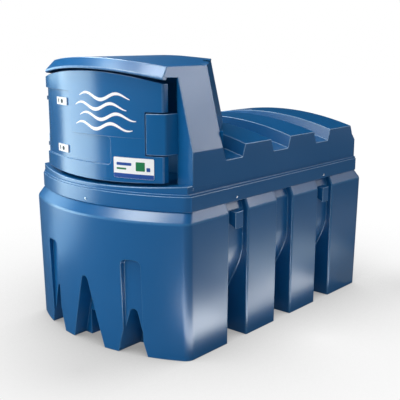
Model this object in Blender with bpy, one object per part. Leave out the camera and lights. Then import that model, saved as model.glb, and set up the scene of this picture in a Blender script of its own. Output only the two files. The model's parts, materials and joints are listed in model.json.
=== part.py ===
# Bunded polyethylene tank for diesel exhaust fluid, with a dispensing cabinet at one end.
# Metres, +Z up. The origin is on the ground at the middle of the tank.
# +X is one long side, and the cabinet with its door is at the -Y end.

import math

import bmesh
import bpy
from mathutils import Matrix, Vector

GAP = 0.0003            # clearance between pieces that rest on each other
SKIN = 0.012            # moulded wall thickness of the bund and the lid
CABINET_SKIN = 0.010    # wall thickness of the cabinet panels

# Bund: the outer tank
FOOT_HALF_WIDTH = 0.728
SHOULDER_HALF_WIDTH = 0.733
RIM_HALF_WIDTH = 0.704
FOOT_FRONT = 1.224      # how far the bowed end reaches from the middle, at the ground
SHOULDER_FRONT = 1.256
RIM_FRONT = 1.196
FOOT_BOWS = (1.37, 1.62)        # plan radius of the bowed ends: cabinet end, far end
SHOULDER_BOWS = (1.30, 1.58)
SHOULDER_HEIGHT = 0.891
RIM_HEIGHT = 0.957
CORNER_RADIUS = 0.060

# Side grooves between the pillars
GROOVE_SPANS = ((-0.632, -0.433), (-0.096, 0.096), (0.433, 0.632))
GROOVE_BACK = 0.685
GROOVE_TOE = 0.500      # where the groove's back has run to at the ground
GROOVE_CURVE_TOP = 0.66
GROOVE_CURVE_END = 0.46
GROOVE_SLOPE = 0.50     # how far the back runs in for each metre down, below the curve

# Recesses and forklift tunnels in the bowed ends
RECESS_CENTRE = 0.3815
RECESS_HALF_WIDTH = 0.0675
RECESS_TOP = 0.637
RECESS_FACE = 1.209     # how far the recess's upright back reaches from the middle
RECESS_BOWS = (1.345, 1.60)
RECESS_ROUND = 0.035
TUNNEL_CENTRE = 0.372
TUNNEL_APEX = 0.305
TUNNEL_HALF_FOOT = 0.104
TUNNEL_LENGTH = 0.200
NOTCH_APEX = 0.469
NOTCH_HALF_FOOT = 0.152
NOTCH_BACK = 1.112
NOTCH_TUNNEL_HALF = 0.085
NOTCH_TUNNEL_HEIGHT = 0.180
NOTCH_TUNNEL_END = 1.012
APEX_RADIUS = 0.028

# Lid: skirt band, side wall and crowned top
BAND_HALF_WIDTH = 0.712
BAND_FRONT = 1.206
BAND_TOP = 1.063
LEDGE_TOP = 1.075
LEDGE_HALF_WIDTH = 0.701
LEDGE_FRONT = 1.196
LEDGE_RISE = 0.002
LID_HALF_WIDTH = 0.690
LID_FRONT = 1.190
DECK_HEIGHT = 1.100     # sill in front of the door, and the cabinet's floor
LID_SIDE_HEIGHT = 1.317
LID_CORNER_RADIUS = 0.055
CROWN_HEIGHT = 1.417
CROWN_BOW = (CROWN_HEIGHT - LID_SIDE_HEIGHT) / LID_HALF_WIDTH ** 2
CROWN_BLOCK_BOTTOM = 1.065
CHANNEL_DEPTH = 0.083
CHANNEL_TOPS = ((-0.650, -0.415), (-0.126, 0.111), (0.418, 0.645))
CHANNEL_SLOPE = 0.030
LID_REAR_TOP = 0.955
LID_REAR_STEP = 0.985
LID_REAR_STEP_DROP = 0.072
LID_REAR_FALL = 0.100   # how far the rear slope drops beyond the step

# Cabinet
PANEL_REAR = -0.653
JAMB_FACE = -0.942
JAMB_INNER = 0.563
JAMB_DEPTH = 0.020
PANEL_LEAN = 0.26
ROOF_SIDE_HEIGHT = 1.828
ROOF_HEIGHT = 1.879
ROOF_BOW = 0.165
ROOF_HALF_WIDTH = 0.557
ROOF_LEFT_FRONT = -0.980
ROOF_FALL_START = -0.620
ROOF_FALL_SLOPE = 0.0405        # how fast the rear bay's roof falls towards its rear
HIP_RIDGE = 0.306               # where the bay's hip facets start on the crown
HIP_FOOT = (0.557, 1.828)       # x and height of their outer corner
HIP_TAIL = (0.242, 1.8537)      # x and height of their rear corner
CREASE_FRONT = 1.165
CREASE_BOW = 1.15
FASCIA_FRONT = 1.210
FASCIA_BOW = 1.30
FASCIA_LOW = 1.824
FASCIA_DROP = 0.185
FASCIA_LIP = 0.012
FASCIA_THICKNESS = 0.022
FASCIA_LEFT = -0.470
FASCIA_TOP_LEFT = -0.405
FASCIA_RIGHT = 0.5605
FASCIA_TOP_RIGHT = 0.5465
EAR_FRONT = -1.075
EAR_CREASE = -1.028
EAR_BOTTOM = 1.762
EAR_TIP = 1.7645
BAY_REAR = -0.235
BAY_HALF_BASE = 0.350
BAY_HALF_TOP = 0.242
PLINTH_HEIGHT = 1.421
PLINTH_MARGIN = 0.016
PLINTH_FRONT = -0.649
PLINTH_HALF_FRONT = 0.688

# Door and its fittings
DOOR_FRONT = 1.167
DOOR_BOW = 1.30
DOOR_LEFT = -0.608
DOOR_RIGHT = 0.546
DOOR_THICKNESS = 0.042
DOOR_BOTTOM = 1.108
DOOR_BOTTOM_RISE = 0.055
DOOR_TOP = 1.797
DOOR_TOP_DROPS = (0.168, 0.235)     # how the top edge falls to the left and to the right
RELIEF_DEPTH = 0.013
RELIEF_TOP = 1.660
RELIEF_FOLD = 1.395
RELIEF_BOTTOM = 1.216
RELIEF_UPPER_RIGHT = -0.186
RELIEF_LOWER_RIGHT = 0.190
RELIEF_ROUND = 0.030
LOWER_STEP = 0.002      # how far the panel right of the relief lies behind the panel above the fold
LOCK_LEFT = 0.443
LOCK_MIDDLE = 0.500
LOCK_RIGHT = 0.560
LOCK_BOTTOM = 1.296
LOCK_TOP = 1.548
LOCK_GAP = 0.008
LOCK_REACH = 0.005
LOCK_CORNER = 0.026
LOCK_TAPER = 0.060
LOCK_SPREAD = 0.012     # how much wider the block's right side is at its seat
HINGE_AXIS = (-0.612, -0.978)
HINGE_HEIGHTS = (1.2675, 1.5875)
PLATE_LEFT = -0.380
PLATE_RIGHT = -0.240
PLATE_HEIGHTS = (1.2745, 1.5875)
PLATE_HALF_HEIGHT = 0.025
PLATE_THICKNESS = 0.008
PIN_RADIUS = 0.006
PIN_HALF_LENGTH = 0.030
PIN_CLEARANCE = 0.0003
KNUCKLE_RADIUS = 0.011
KNUCKLE_GAP = 0.001
LEAF_HALF_HEIGHT = 0.014
LEAF_HALF_FLANGE = 0.016
LEAF_THICKNESS = 0.003
ARM_HALF_THICKNESS = 0.003
BRACKET_HALF_HEIGHT = 0.028
BRACKET_WIDTH = 0.050
BRACKET_THICKNESS = 0.004
LABEL_LEFT = 0.214
LABEL_RIGHT = 0.489
LABEL_BOTTOM = 1.143
LABEL_TOP = 1.272
LABEL_THICKNESS = 0.002

# Tie lugs in the side grooves and the screws that hold the lid down
LUG_PLACES = (-0.532, 0.536)
LUG_HALF_WIDTH = 0.040
LUG_BOTTOM = 0.778
LUG_TOP = 0.888
LUG_FACE = 0.735
LUG_CHAMFER = 0.004
LUG_UNDERCUT = 0.018
SCREW_HEIGHT = 0.983
SCREW_RADIUS = 0.008
SCREW_HEAD = 0.004

# How far cutters run past the pieces that they cut
BELOW_GROUND = -0.05
ABOVE_RIM = 1.05
BESIDE = 0.85
BEYOND = 1.40
OVERRUN = 0.05

ARC_STEPS = 22
CORNER_STEPS = 6
SMOOTH_ANGLE = math.radians(35)

# colour, roughness and metallic value of each finish
FINISHES = {
    "polyethylene": ((0.020, 0.130, 0.330), 0.45, 0.0),
    "steel": ((0.800, 0.800, 0.800), 0.30, 0.9),
    "label": ((0.900, 0.900, 0.900), 0.40, 0.0),
}


def make_material(name, colour, roughness, metallic):
    material = bpy.data.materials.new(name)
    material.use_nodes = True
    shader = material.node_tree.nodes["Principled BSDF"]
    shader.inputs["Base Color"].default_value = (*colour, 1.0)
    shader.inputs["Roughness"].default_value = roughness
    shader.inputs["Metallic"].default_value = metallic
    return material


def add_object(name, shape, finish=None):
    # a sub-part gets its own material, and a shape without a finish is a cutter
    mesh = bpy.data.meshes.new(name)
    bmesh.ops.recalc_face_normals(shape, faces=shape.faces)
    shape.to_mesh(mesh)
    shape.free()
    thing = bpy.data.objects.new(name, mesh)
    bpy.context.scene.collection.objects.link(thing)
    if finish:
        mesh.materials.append(make_material(f"{name}_{finish}", *FINISHES[finish]))
        mesh.shade_smooth()
        mesh.set_sharp_from_angle(angle=SMOOTH_ANGLE)
    else:
        thing.hide_render = True
        thing.display_type = 'WIRE'
    return thing


def combine(thing, tool, operation='DIFFERENCE'):
    modifier = thing.modifiers.new(operation.lower() + "_" + tool.name, 'BOOLEAN')
    modifier.operation = operation
    modifier.solver = 'EXACT'
    modifier.object = tool


def bowed_side(x, front, bow):
    # y of a bowed front, seen from above
    return bow - front - math.sqrt(bow * bow - x * x)


def end_outline(half_width, front, bow, corner):
    # points of the -Y end from the left side to the right side, corners rounded
    centre_y = bow - front
    inner = half_width - corner
    corner_y = centre_y - math.sqrt((bow - corner) ** 2 - inner ** 2)
    turn = math.atan2(inner, centre_y - corner_y)
    right = []
    for step in range(ARC_STEPS // 2 + 1):
        angle = turn * step / (ARC_STEPS // 2)
        right.append((bow * math.sin(angle), centre_y - bow * math.cos(angle)))
    for step in range(1, CORNER_STEPS + 1):
        angle = turn + (math.pi / 2 - turn) * step / CORNER_STEPS
        right.append((inner + corner * math.sin(angle), corner_y - corner * math.cos(angle)))
    left = [(-x, y) for x, y in reversed(right[1:])]
    return left + right


def tank_outline(half_width, front, bows, inset, corner=CORNER_RADIUS):
    # the whole plan, drawn in by inset; bows are the plan radii of the cabinet end and the far end
    near, far = (end_outline(half_width - inset, front - inset, bow - inset, corner) for bow in bows)
    return near + [(-x, -y) for x, y in far]


def sweep(name, rows, finish=None):
    # a closed solid through a row of sections that have the same number of points
    shape = bmesh.new()
    layers = [[shape.verts.new(point) for point in row] for row in rows]
    for low, high in zip(layers, layers[1:]):
        count = len(low)
        for index in range(count):
            after = (index + 1) % count
            shape.faces.new((low[index], low[after], high[after], high[index]))
    shape.faces.new(list(reversed(layers[0])))
    shape.faces.new(layers[-1])
    return add_object(name, shape, finish)


def loft(name, rings, finish=None):
    # rings is a list of (height, outline), from the bottom up
    return sweep(name, [[(x, y, height) for x, y in outline] for height, outline in rings], finish)


def along_y(name, outline, y_start, y_end, finish=None):
    return sweep(name, [[(x, y, z) for x, z in outline] for y in (y_start, y_end)], finish)


def box_outline(low_u, high_u, low_v, high_v):
    return [(low_u, low_v), (high_u, low_v), (high_u, high_v), (low_u, high_v)]


def arc_points(centre_u, centre_v, radius, start, end, steps):
    # angles in degrees
    points = []
    for step in range(steps + 1):
        angle = math.radians(start + (end - start) * step / steps)
        points.append((centre_u + radius * math.cos(angle), centre_v + radius * math.sin(angle)))
    return points


def arch_outline(centre, half_foot, apex, radius):
    # an inverted V with a rounded top, seen along Y; the foot width is measured at z = 0
    lean = math.atan2(half_foot - radius, apex)
    tangent = math.degrees(lean)
    top = arc_points(centre, apex - radius, radius, tangent, 180 - tangent, 6)
    spread = half_foot - BELOW_GROUND * math.tan(lean)
    return [(centre + spread, BELOW_GROUND)] + top + [(centre - spread, BELOW_GROUND)]


def recess_outline(centre, grow):
    half = RECESS_HALF_WIDTH + grow
    top = RECESS_TOP + grow
    inset = half - RECESS_ROUND
    right = arc_points(centre + inset, top - RECESS_ROUND, RECESS_ROUND, 0, 90, 4)
    left = arc_points(centre - inset, top - RECESS_ROUND, RECESS_ROUND, 90, 180, 4)
    return [(centre + half, BELOW_GROUND)] + right + left + [(centre - half, BELOW_GROUND)]


def groove_profile(grow):
    # section of a side groove across X: its back runs inwards towards the ground
    back = []
    steps = 6
    span = GROOVE_CURVE_TOP - GROOVE_CURVE_END
    for step in range(steps + 1):
        drop = span * step / steps
        run = GROOVE_SLOPE * drop * drop / (2 * span)
        back.append((GROOVE_BACK - run - grow, GROOVE_CURVE_TOP - drop))
    end_x, end_z = back[-1]
    toe = GROOVE_TOE - grow
    back.append((toe, end_z - (end_x - toe) / GROOVE_SLOPE))
    back.append((toe, BELOW_GROUND))
    return [(BESIDE, BELOW_GROUND), (BESIDE, ABOVE_RIM), (GROOVE_BACK - grow, ABOVE_RIM)] + back


def mirrored(outline):
    return [(-u, v) for u, v in reversed(outline)]


def cut_grooves(body, grow=0.0):
    right = groove_profile(grow)
    for start, end in GROOVE_SPANS:
        for side, profile in (("right", right), ("left", mirrored(right))):
            cutter = along_y(f"groove_{side}_{start}_{grow}", profile, start - grow, end + grow)
            combine(body, cutter)


def bowed_post(name, front, bow, sign):
    # everything behind a bowed face, from below the ground to above the rim
    near = end_outline(SHOULDER_HALF_WIDTH, front, bow, RECESS_ROUND)
    outline = [(x, -sign * y) for x, y in near]
    outline += [(outline[-1][0], 0.0), (outline[0][0], 0.0)]
    return loft(name, [(2 * BELOW_GROUND, outline), (ABOVE_RIM, outline)])


def cut_end(body, sign, grow=0.0):
    # recesses, fork tunnels and the middle notch; sign is -1 at the cabinet end and 1 at the far end
    start = sign * BEYOND
    label = f"{'near' if sign < 0 else 'far'}_{grow}"
    recess_bow = RECESS_BOWS[0 if sign < 0 else 1] - grow
    tunnel_end = TUNNEL_LENGTH + bowed_side(TUNNEL_CENTRE, FOOT_FRONT, FOOT_BOWS[0]) + grow
    for side in (-1, 1):
        recess = recess_outline(side * RECESS_CENTRE, grow)
        cutter = along_y(f"recess_{side}_{label}", recess, start, -sign * tunnel_end)
        combine(cutter, bowed_post(f"recess_keep_{side}_{label}", RECESS_FACE - grow, recess_bow, sign))
        combine(body, cutter)
        arch = arch_outline(side * TUNNEL_CENTRE, TUNNEL_HALF_FOOT + grow, TUNNEL_APEX + grow,
                            APEX_RADIUS + grow)
        combine(body, along_y(f"tunnel_{side}_{label}", arch, start, -sign * tunnel_end))
    notch = arch_outline(0.0, NOTCH_HALF_FOOT + grow, NOTCH_APEX + grow, APEX_RADIUS + grow)
    combine(body, along_y(f"notch_{label}", notch, start, sign * (NOTCH_BACK - grow)))
    half = NOTCH_TUNNEL_HALF + grow
    tunnel = box_outline(-half, half, BELOW_GROUND, NOTCH_TUNNEL_HEIGHT + grow)
    combine(body, along_y(f"notch_tunnel_{label}", tunnel, start, sign * (NOTCH_TUNNEL_END - grow)))


def bund_body(name, inset, bottom, top, finish=None):
    # the outer tank without its cuts, drawn in by inset
    foot = tank_outline(FOOT_HALF_WIDTH, FOOT_FRONT, FOOT_BOWS, inset)
    shoulder = tank_outline(SHOULDER_HALF_WIDTH, SHOULDER_FRONT, SHOULDER_BOWS, inset)
    rim = tank_outline(RIM_HALF_WIDTH, RIM_FRONT, SHOULDER_BOWS, inset)
    rings = [(bottom, foot), (SHOULDER_HEIGHT - inset / 2, shoulder), (RIM_HEIGHT, rim)]
    if top > RIM_HEIGHT:
        rings.append((top, rim))
    return loft(name, rings, finish)


def make_bund():
    bund = bund_body("bund_tank", 0.0, 0.0, RIM_HEIGHT, "polyethylene")
    cut_grooves(bund)
    for sign in (-1, 1):
        cut_end(bund, sign)
    hollow = bund_body("bund_hollow", SKIN, SKIN, ABOVE_RIM)
    cut_grooves(hollow, SKIN)
    for sign in (-1, 1):
        cut_end(hollow, sign, SKIN)
    combine(bund, hollow)


def crown(x, height, bow):
    return height - bow * x * x


def crowned_line(half_width, height, bow, steps=16):
    # the arched top edge of a section across X, from right to left
    line = []
    for step in range(steps + 1):
        x = half_width - 2 * half_width * step / steps
        line.append((x, crown(x, height, bow)))
    return line


def lid_outer(name, inset, bottom, finish=None):
    # skirt band, ledge and deck in one loft
    band = tank_outline(BAND_HALF_WIDTH, BAND_FRONT, SHOULDER_BOWS, inset)
    ledge = tank_outline(LEDGE_HALF_WIDTH, LEDGE_FRONT, SHOULDER_BOWS, inset)
    wall = tank_outline(LID_HALF_WIDTH, LID_FRONT, SHOULDER_BOWS, inset)
    rings = [(bottom, band), (BAND_TOP - inset, band), (LEDGE_TOP - inset, ledge),
             (LEDGE_TOP + LEDGE_RISE - inset, wall), (DECK_HEIGHT - inset, wall)]
    return loft(name, rings, finish)


def rear_outline(half_width, rear, front):
    # plan of the raised part of the lid, rounded at the rear end like the skirt
    far = end_outline(half_width, rear, SHOULDER_BOWS[1], LID_CORNER_RADIUS)
    return [(x, -y) for x, y in reversed(far)] + [(-half_width, front), (half_width, front)]


def across_lid(name, section, steps=20):
    # sweeps a section across the lid; section(x) gives its (y, z) points
    rows = []
    for step in range(steps + 1):
        x = BESIDE - 2 * BESIDE * step / steps
        rows.append([(x, y, z) for y, z in section(x)])
    return sweep(name, rows)


def channel_cutter(name, start, end, inset):
    # a cross channel whose walls lean outwards towards the top; its floor follows the crown
    def section(x):
        top = crown(x, CROWN_HEIGHT, CROWN_BOW)
        floor = top - CHANNEL_DEPTH - inset
        lift = top + CHANNEL_DEPTH
        return [(start + CHANNEL_SLOPE - inset, floor), (end - CHANNEL_SLOPE + inset, floor),
                (end + CHANNEL_SLOPE + inset, lift), (start - CHANNEL_SLOPE - inset, lift)]
    return across_lid(name, section)


def rear_step_cutter(name, inset):
    # the far rib ends in a steep step and then a slope that runs down to the rear edge
    def section(x):
        top = crown(x, CROWN_HEIGHT, CROWN_BOW) - inset
        above = top + 0.6 * LID_REAR_FALL
        low = top - LID_REAR_STEP_DROP
        return [(LID_REAR_TOP - 0.010 - inset, above), (LID_REAR_TOP - inset, top),
                (LID_REAR_STEP - inset, low), (BEYOND, low - LID_REAR_FALL), (BEYOND, above)]
    return across_lid(name, section)


def crowned_block(name, inset, finish=None):
    # the ribbed top of the lid: a crowned body with cross channels and a stepped rear end
    half = LID_HALF_WIDTH - inset
    bottom = CROWN_BLOCK_BOTTOM - inset
    section = [(half, bottom)] + crowned_line(half, CROWN_HEIGHT - inset, CROWN_BOW) + [(-half, bottom)]
    body = along_y(name, section, PANEL_REAR + inset, BEYOND, finish)
    outline = rear_outline(half, LID_FRONT - inset, 2 * PANEL_REAR)
    combine(body, loft(name + "_plan", [(DECK_HEIGHT / 2, outline), (2 * DECK_HEIGHT, outline)]), 'INTERSECT')
    for start, end in CHANNEL_TOPS:
        combine(body, channel_cutter(f"{name}_channel_{start}", start, end, inset))
    combine(body, rear_step_cutter(name + "_rear_step", inset))
    return body


def bay_plan(half_front, half_rear, rear, front=PANEL_REAR):
    return [(-half_front, front), (-half_rear, rear), (half_rear, rear), (half_front, front)]


def make_lid():
    lid = lid_outer("lid", 0.0, RIM_HEIGHT + GAP, "polyethylene")
    combine(lid, crowned_block("lid_top", 0.0), 'UNION')
    half_rear = BAY_HALF_BASE + PLINTH_MARGIN
    outline = bay_plan(PLINTH_HALF_FRONT, half_rear, BAY_REAR + PLINTH_MARGIN, PLINTH_FRONT)
    plinth = loft("plinth", [(CROWN_BLOCK_BOTTOM, outline), (PLINTH_HEIGHT, outline)])
    combine(lid, plinth, 'UNION')
    combine(lid, lid_outer("lid_hollow", SKIN, RIM_HEIGHT - OVERRUN))
    combine(lid, crowned_block("lid_top_hollow", SKIN))


def panel_face(height):
    # x of the cabinet's side panel at a height
    return LID_HALF_WIDTH - PANEL_LEAN * max(0.0, height - LID_SIDE_HEIGHT)


def bay_half_rear(height):
    share = (height - PLINTH_HEIGHT) / (ROOF_SIDE_HEIGHT - PLINTH_HEIGHT)
    return BAY_HALF_BASE + (BAY_HALF_TOP - BAY_HALF_BASE) * share


def side_wall_outline(with_ear):
    # side view of the leaning panel as (y, z); the ear closes the roof's overhang in front of the doorway
    top = ROOF_SIDE_HEIGHT - CABINET_SKIN - 2 * GAP
    ear = [(JAMB_FACE, EAR_BOTTOM), (EAR_FRONT, EAR_TIP), (EAR_CREASE, top)]
    front = ear if with_ear else [(JAMB_FACE, top)]
    rear = PANEL_REAR - GAP
    return [(rear, LID_SIDE_HEIGHT), (JAMB_FACE, LID_SIDE_HEIGHT)] + front + [(rear, top)]


def make_side_wall(name, sign):
    # leaning panel, upright foot below it, and the return flange that frames the doorway
    outline = side_wall_outline(sign > 0)
    rows = [[(sign * (panel_face(z) - depth), y, z) for y, z in outline] for depth in (0.0, CABINET_SKIN)]
    wall = sweep(name, rows, "polyethylene")
    low, high = sorted((sign * LID_HALF_WIDTH, sign * (LID_HALF_WIDTH - CABINET_SKIN)))
    bottom = DECK_HEIGHT + GAP
    foot = box_outline(low, high, bottom, LID_SIDE_HEIGHT + 0.001)
    combine(wall, along_y(name + "_foot", foot, JAMB_FACE, PANEL_REAR - GAP), 'UNION')
    inside = CABINET_SKIN / 2
    flange = [(sign * JAMB_INNER, bottom), (sign * (LID_HALF_WIDTH - inside), bottom),
              (sign * (LID_HALF_WIDTH - inside), LID_SIDE_HEIGHT),
              (sign * (panel_face(EAR_BOTTOM) - inside), EAR_BOTTOM), (sign * JAMB_INNER, EAR_BOTTOM)]
    combine(wall, along_y(name + "_jamb", flange, JAMB_FACE, JAMB_FACE + JAMB_DEPTH), 'UNION')


def make_fascia():
    # sloping front of the roof, with a short upright lip under it
    rows = []
    steps = 20
    for step in range(steps + 1):
        share = step / steps
        x_low = FASCIA_LEFT + (FASCIA_RIGHT - FASCIA_LEFT) * share
        x_top = FASCIA_TOP_LEFT + (FASCIA_TOP_RIGHT - FASCIA_TOP_LEFT) * share
        top_y = bowed_side(x_top, CREASE_FRONT, CREASE_BOW)
        low_y = bowed_side(x_low, FASCIA_FRONT, FASCIA_BOW)
        low_z = crown(x_low, FASCIA_LOW, FASCIA_DROP)
        top_z = crown(x_top, ROOF_HEIGHT, ROOF_BOW)
        rows.append([
            (x_top, top_y, top_z),
            (x_low, low_y, low_z),
            (x_low, low_y + 0.001, low_z - FASCIA_LIP),
            (x_low, low_y + FASCIA_THICKNESS, low_z - FASCIA_LIP),
            (x_top, top_y + FASCIA_THICKNESS, top_z - CABINET_SKIN / 2),
        ])
    return sweep("fascia", rows)


def roof_rows(section):
    # a section across the roof, carried back level and then falling over the rear bay
    rows = []
    for y in (-BEYOND, ROOF_FALL_START, 0.0):
        fall = ROOF_FALL_SLOPE * max(0.0, y - ROOF_FALL_START)
        rows.append([(x, y, z - fall) for x, z in section])
    return rows


def hip_cutter(sign):
    # what lies above a hip facet of the rear bay's roof
    ridge = Vector((sign * HIP_RIDGE, ROOF_FALL_START, crown(HIP_RIDGE, ROOF_HEIGHT, ROOF_BOW)))
    foot = Vector((sign * HIP_FOOT[0], PANEL_REAR, HIP_FOOT[1]))
    tail = Vector((sign * HIP_TAIL[0], BAY_REAR, HIP_TAIL[1]))
    middle = (ridge + foot + tail) / 3
    facet = [middle + (corner - middle) * 2 for corner in (ridge, foot, tail)]
    return sweep(f"hip_{sign}", [facet, [corner + Vector((0, 0, OVERRUN)) for corner in facet]])


def make_cheek():
    # leaning flank that closes the roof's left front corner, from the fascia back to the side panel
    low_y = bowed_side(FASCIA_LEFT, FASCIA_FRONT, FASCIA_BOW) + FASCIA_THICKNESS / 4
    low_z = crown(FASCIA_LEFT, FASCIA_LOW, FASCIA_DROP) - 0.9 * FASCIA_LIP
    top_y = bowed_side(FASCIA_TOP_LEFT, CREASE_FRONT, CREASE_BOW) + FASCIA_THICKNESS / 4
    top_z = crown(FASCIA_TOP_LEFT, ROOF_HEIGHT, ROOF_BOW) - CABINET_SKIN / 2
    rear = JAMB_FACE - GAP
    rear_top = ROOF_SIDE_HEIGHT - CABINET_SKIN / 2
    edge = -ROOF_HALF_WIDTH + GAP
    skin = CABINET_SKIN
    front_row = [(FASCIA_LEFT + GAP, low_y, low_z), (FASCIA_TOP_LEFT + GAP, top_y, top_z),
                 (FASCIA_TOP_LEFT + skin, top_y + skin, top_z), (FASCIA_LEFT + skin, low_y + skin, low_z)]
    rear_row = [(-panel_face(EAR_BOTTOM), rear, EAR_BOTTOM), (edge, rear, rear_top),
                (edge + skin, rear, rear_top), (skin - panel_face(EAR_BOTTOM), rear, EAR_BOTTOM)]
    return sweep("roof_cheek", [front_row, rear_row])


def make_roof():
    # crowned skin over the cabinet and its rear bay, with the sloping fascia in front
    top = crowned_line(ROOF_HALF_WIDTH, ROOF_HEIGHT, ROOF_BOW)
    under = [(x, z - CABINET_SKIN) for x, z in reversed(top)]
    roof = sweep("cabinet_roof", roof_rows(top + under), "polyethylene")
    side = ROOF_HALF_WIDTH + OVERRUN
    front = []
    for step in range(ARC_STEPS + 1):
        x = FASCIA_TOP_LEFT + (ROOF_HALF_WIDTH - FASCIA_TOP_LEFT) * step / ARC_STEPS
        front.append((x, bowed_side(x, CREASE_FRONT, CREASE_BOW)))
    rear = [(side, PANEL_REAR), (BAY_HALF_TOP, BAY_REAR), (-BAY_HALF_TOP, BAY_REAR), (-side, PANEL_REAR)]
    plan = front + rear + [(-side, ROOF_LEFT_FRONT), (-ROOF_HALF_WIDTH, ROOF_LEFT_FRONT)]
    combine(roof, loft("roof_plan", [(EAR_BOTTOM, plan), (ROOF_HEIGHT + OVERRUN, plan)]), 'INTERSECT')
    for sign in (-1, 1):
        combine(roof, hip_cutter(sign))
    combine(roof, make_fascia(), 'UNION')
    combine(roof, make_cheek(), 'UNION')


def make_rear_wall():
    # three-sided bay behind the cabinet, standing on the lid's plinth
    bottom = PLINTH_HEIGHT + GAP
    above = ROOF_HEIGHT + OVERRUN
    outer = [(z, bay_plan(panel_face(z) - 0.001, bay_half_rear(z), BAY_REAR, PANEL_REAR + GAP))
             for z in (bottom, above)]
    wall = loft("cabinet_rear", outer, "polyethylene")
    inner = [(z, bay_plan(panel_face(z) - 0.013, bay_half_rear(z) - CABINET_SKIN / 2, BAY_REAR - CABINET_SKIN,
                          PANEL_REAR - OVERRUN)) for z in (bottom - OVERRUN, above + OVERRUN)]
    combine(wall, loft("bay_hollow", inner))
    under_roof = crowned_line(BESIDE, ROOF_HEIGHT - CABINET_SKIN - GAP, ROOF_BOW)
    over = [(-BESIDE, ROOF_HEIGHT + 2 * OVERRUN), (BESIDE, ROOF_HEIGHT + 2 * OVERRUN)] + under_roof
    combine(wall, sweep("above_bay", roof_rows(over)))


def door_outline():
    # front view of the door's edge as (x, z): arched top and bottom, notched for the lock block
    steps = 18
    across = [DOOR_LEFT + (DOOR_RIGHT - DOOR_LEFT) * step / steps for step in range(steps + 1)]
    bottom = [(x, crown(x, DOOR_BOTTOM, -DOOR_BOTTOM_RISE)) for x in across]
    top = [(x, crown(x, DOOR_TOP, DOOR_TOP_DROPS[x > 0])) for x in reversed(across)]
    left = LOCK_LEFT - LOCK_GAP
    low = LOCK_BOTTOM - LOCK_GAP
    high = LOCK_TOP + LOCK_GAP
    return bottom + [(DOOR_RIGHT, low), (left, low), (left, high), (DOOR_RIGHT, high)] + top


def relief_outline():
    # front view of the sunk part of the door's face, open at the door's left edge
    edge = DOOR_LEFT - OVERRUN
    turn = RELIEF_ROUND
    low_right = RELIEF_LOWER_RIGHT
    high_right = RELIEF_UPPER_RIGHT
    outline = [(edge, RELIEF_BOTTOM)]
    outline += arc_points(low_right - turn, RELIEF_BOTTOM + turn, turn, -90, 0, 4)
    outline += arc_points(low_right - turn, RELIEF_FOLD - turn, turn, 0, 90, 4)
    outline += reversed(arc_points(high_right + turn, RELIEF_FOLD + turn, turn, 180, 270, 4))
    outline += arc_points(high_right - turn, RELIEF_TOP - turn, turn, 0, 90, 4)
    return outline + [(edge, RELIEF_TOP)]


def bowed_panel(name, left, right, bottom, top, lift, thickness, finish=None, steps=18):
    # a slab bent like the door; lift is how far its outer face stands out from the door's face
    front = DOOR_FRONT + lift
    bow = DOOR_BOW + lift
    face = []
    for step in range(steps + 1):
        x = left + (right - left) * step / steps
        face.append((x, bowed_side(x, front, bow)))
    back = []
    for x, y in reversed(face):
        outward = Vector((x, y - (bow - front))).normalized()
        back.append((x - outward.x * thickness, y - outward.y * thickness))
    return loft(name, [(bottom, face + back), (top, face + back)], finish)


def sink_face(door, name, outline, depth):
    # lowers the part of the door's face that lies inside an outline
    cutter = along_y(name, outline, -BEYOND, -BESIDE)
    keep = bowed_panel(name + "_keep", -BESIDE, BESIDE, 1.0, 2.0, -depth, 0.5)
    combine(cutter, keep)
    combine(door, cutter)


def make_door():
    # the left edge is square to the bow, and the right edge runs straight back
    beyond = DOOR_RIGHT + DOOR_THICKNESS
    door = bowed_panel("door", DOOR_LEFT, beyond, DOOR_BOTTOM - OVERRUN, DOOR_TOP + OVERRUN, 0.0,
                       DOOR_THICKNESS, "polyethylene")
    combine(door, along_y("door_edge", door_outline(), -BEYOND, -BESIDE), 'INTERSECT')
    sink_face(door, "relief", relief_outline(), RELIEF_DEPTH)
    edge = RELIEF_LOWER_RIGHT - RELIEF_ROUND
    lower = box_outline(edge, DOOR_RIGHT + OVERRUN, DOOR_BOTTOM - OVERRUN, RELIEF_FOLD)
    sink_face(door, "lower_right", lower, LOWER_STEP)
    return door


def circle(radius, steps=16):
    # points round the hinge axis
    x, y = HINGE_AXIS
    turns = [2 * math.pi * step / steps for step in range(steps)]
    return [(x + radius * math.cos(turn), y + radius * math.sin(turn)) for turn in turns]


def upright(name, outline, low, high, finish=None):
    return loft(name, [(low, outline), (high, outline)], finish)


def strip_between(start, end, half_width):
    # plan of a straight strip from start to end
    along = (end - start).normalized()
    across = Vector((-along.y, along.x)) * half_width
    corners = (start - across, end - across, end + across, start + across)
    return [(corner.x, corner.y) for corner in corners]


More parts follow.
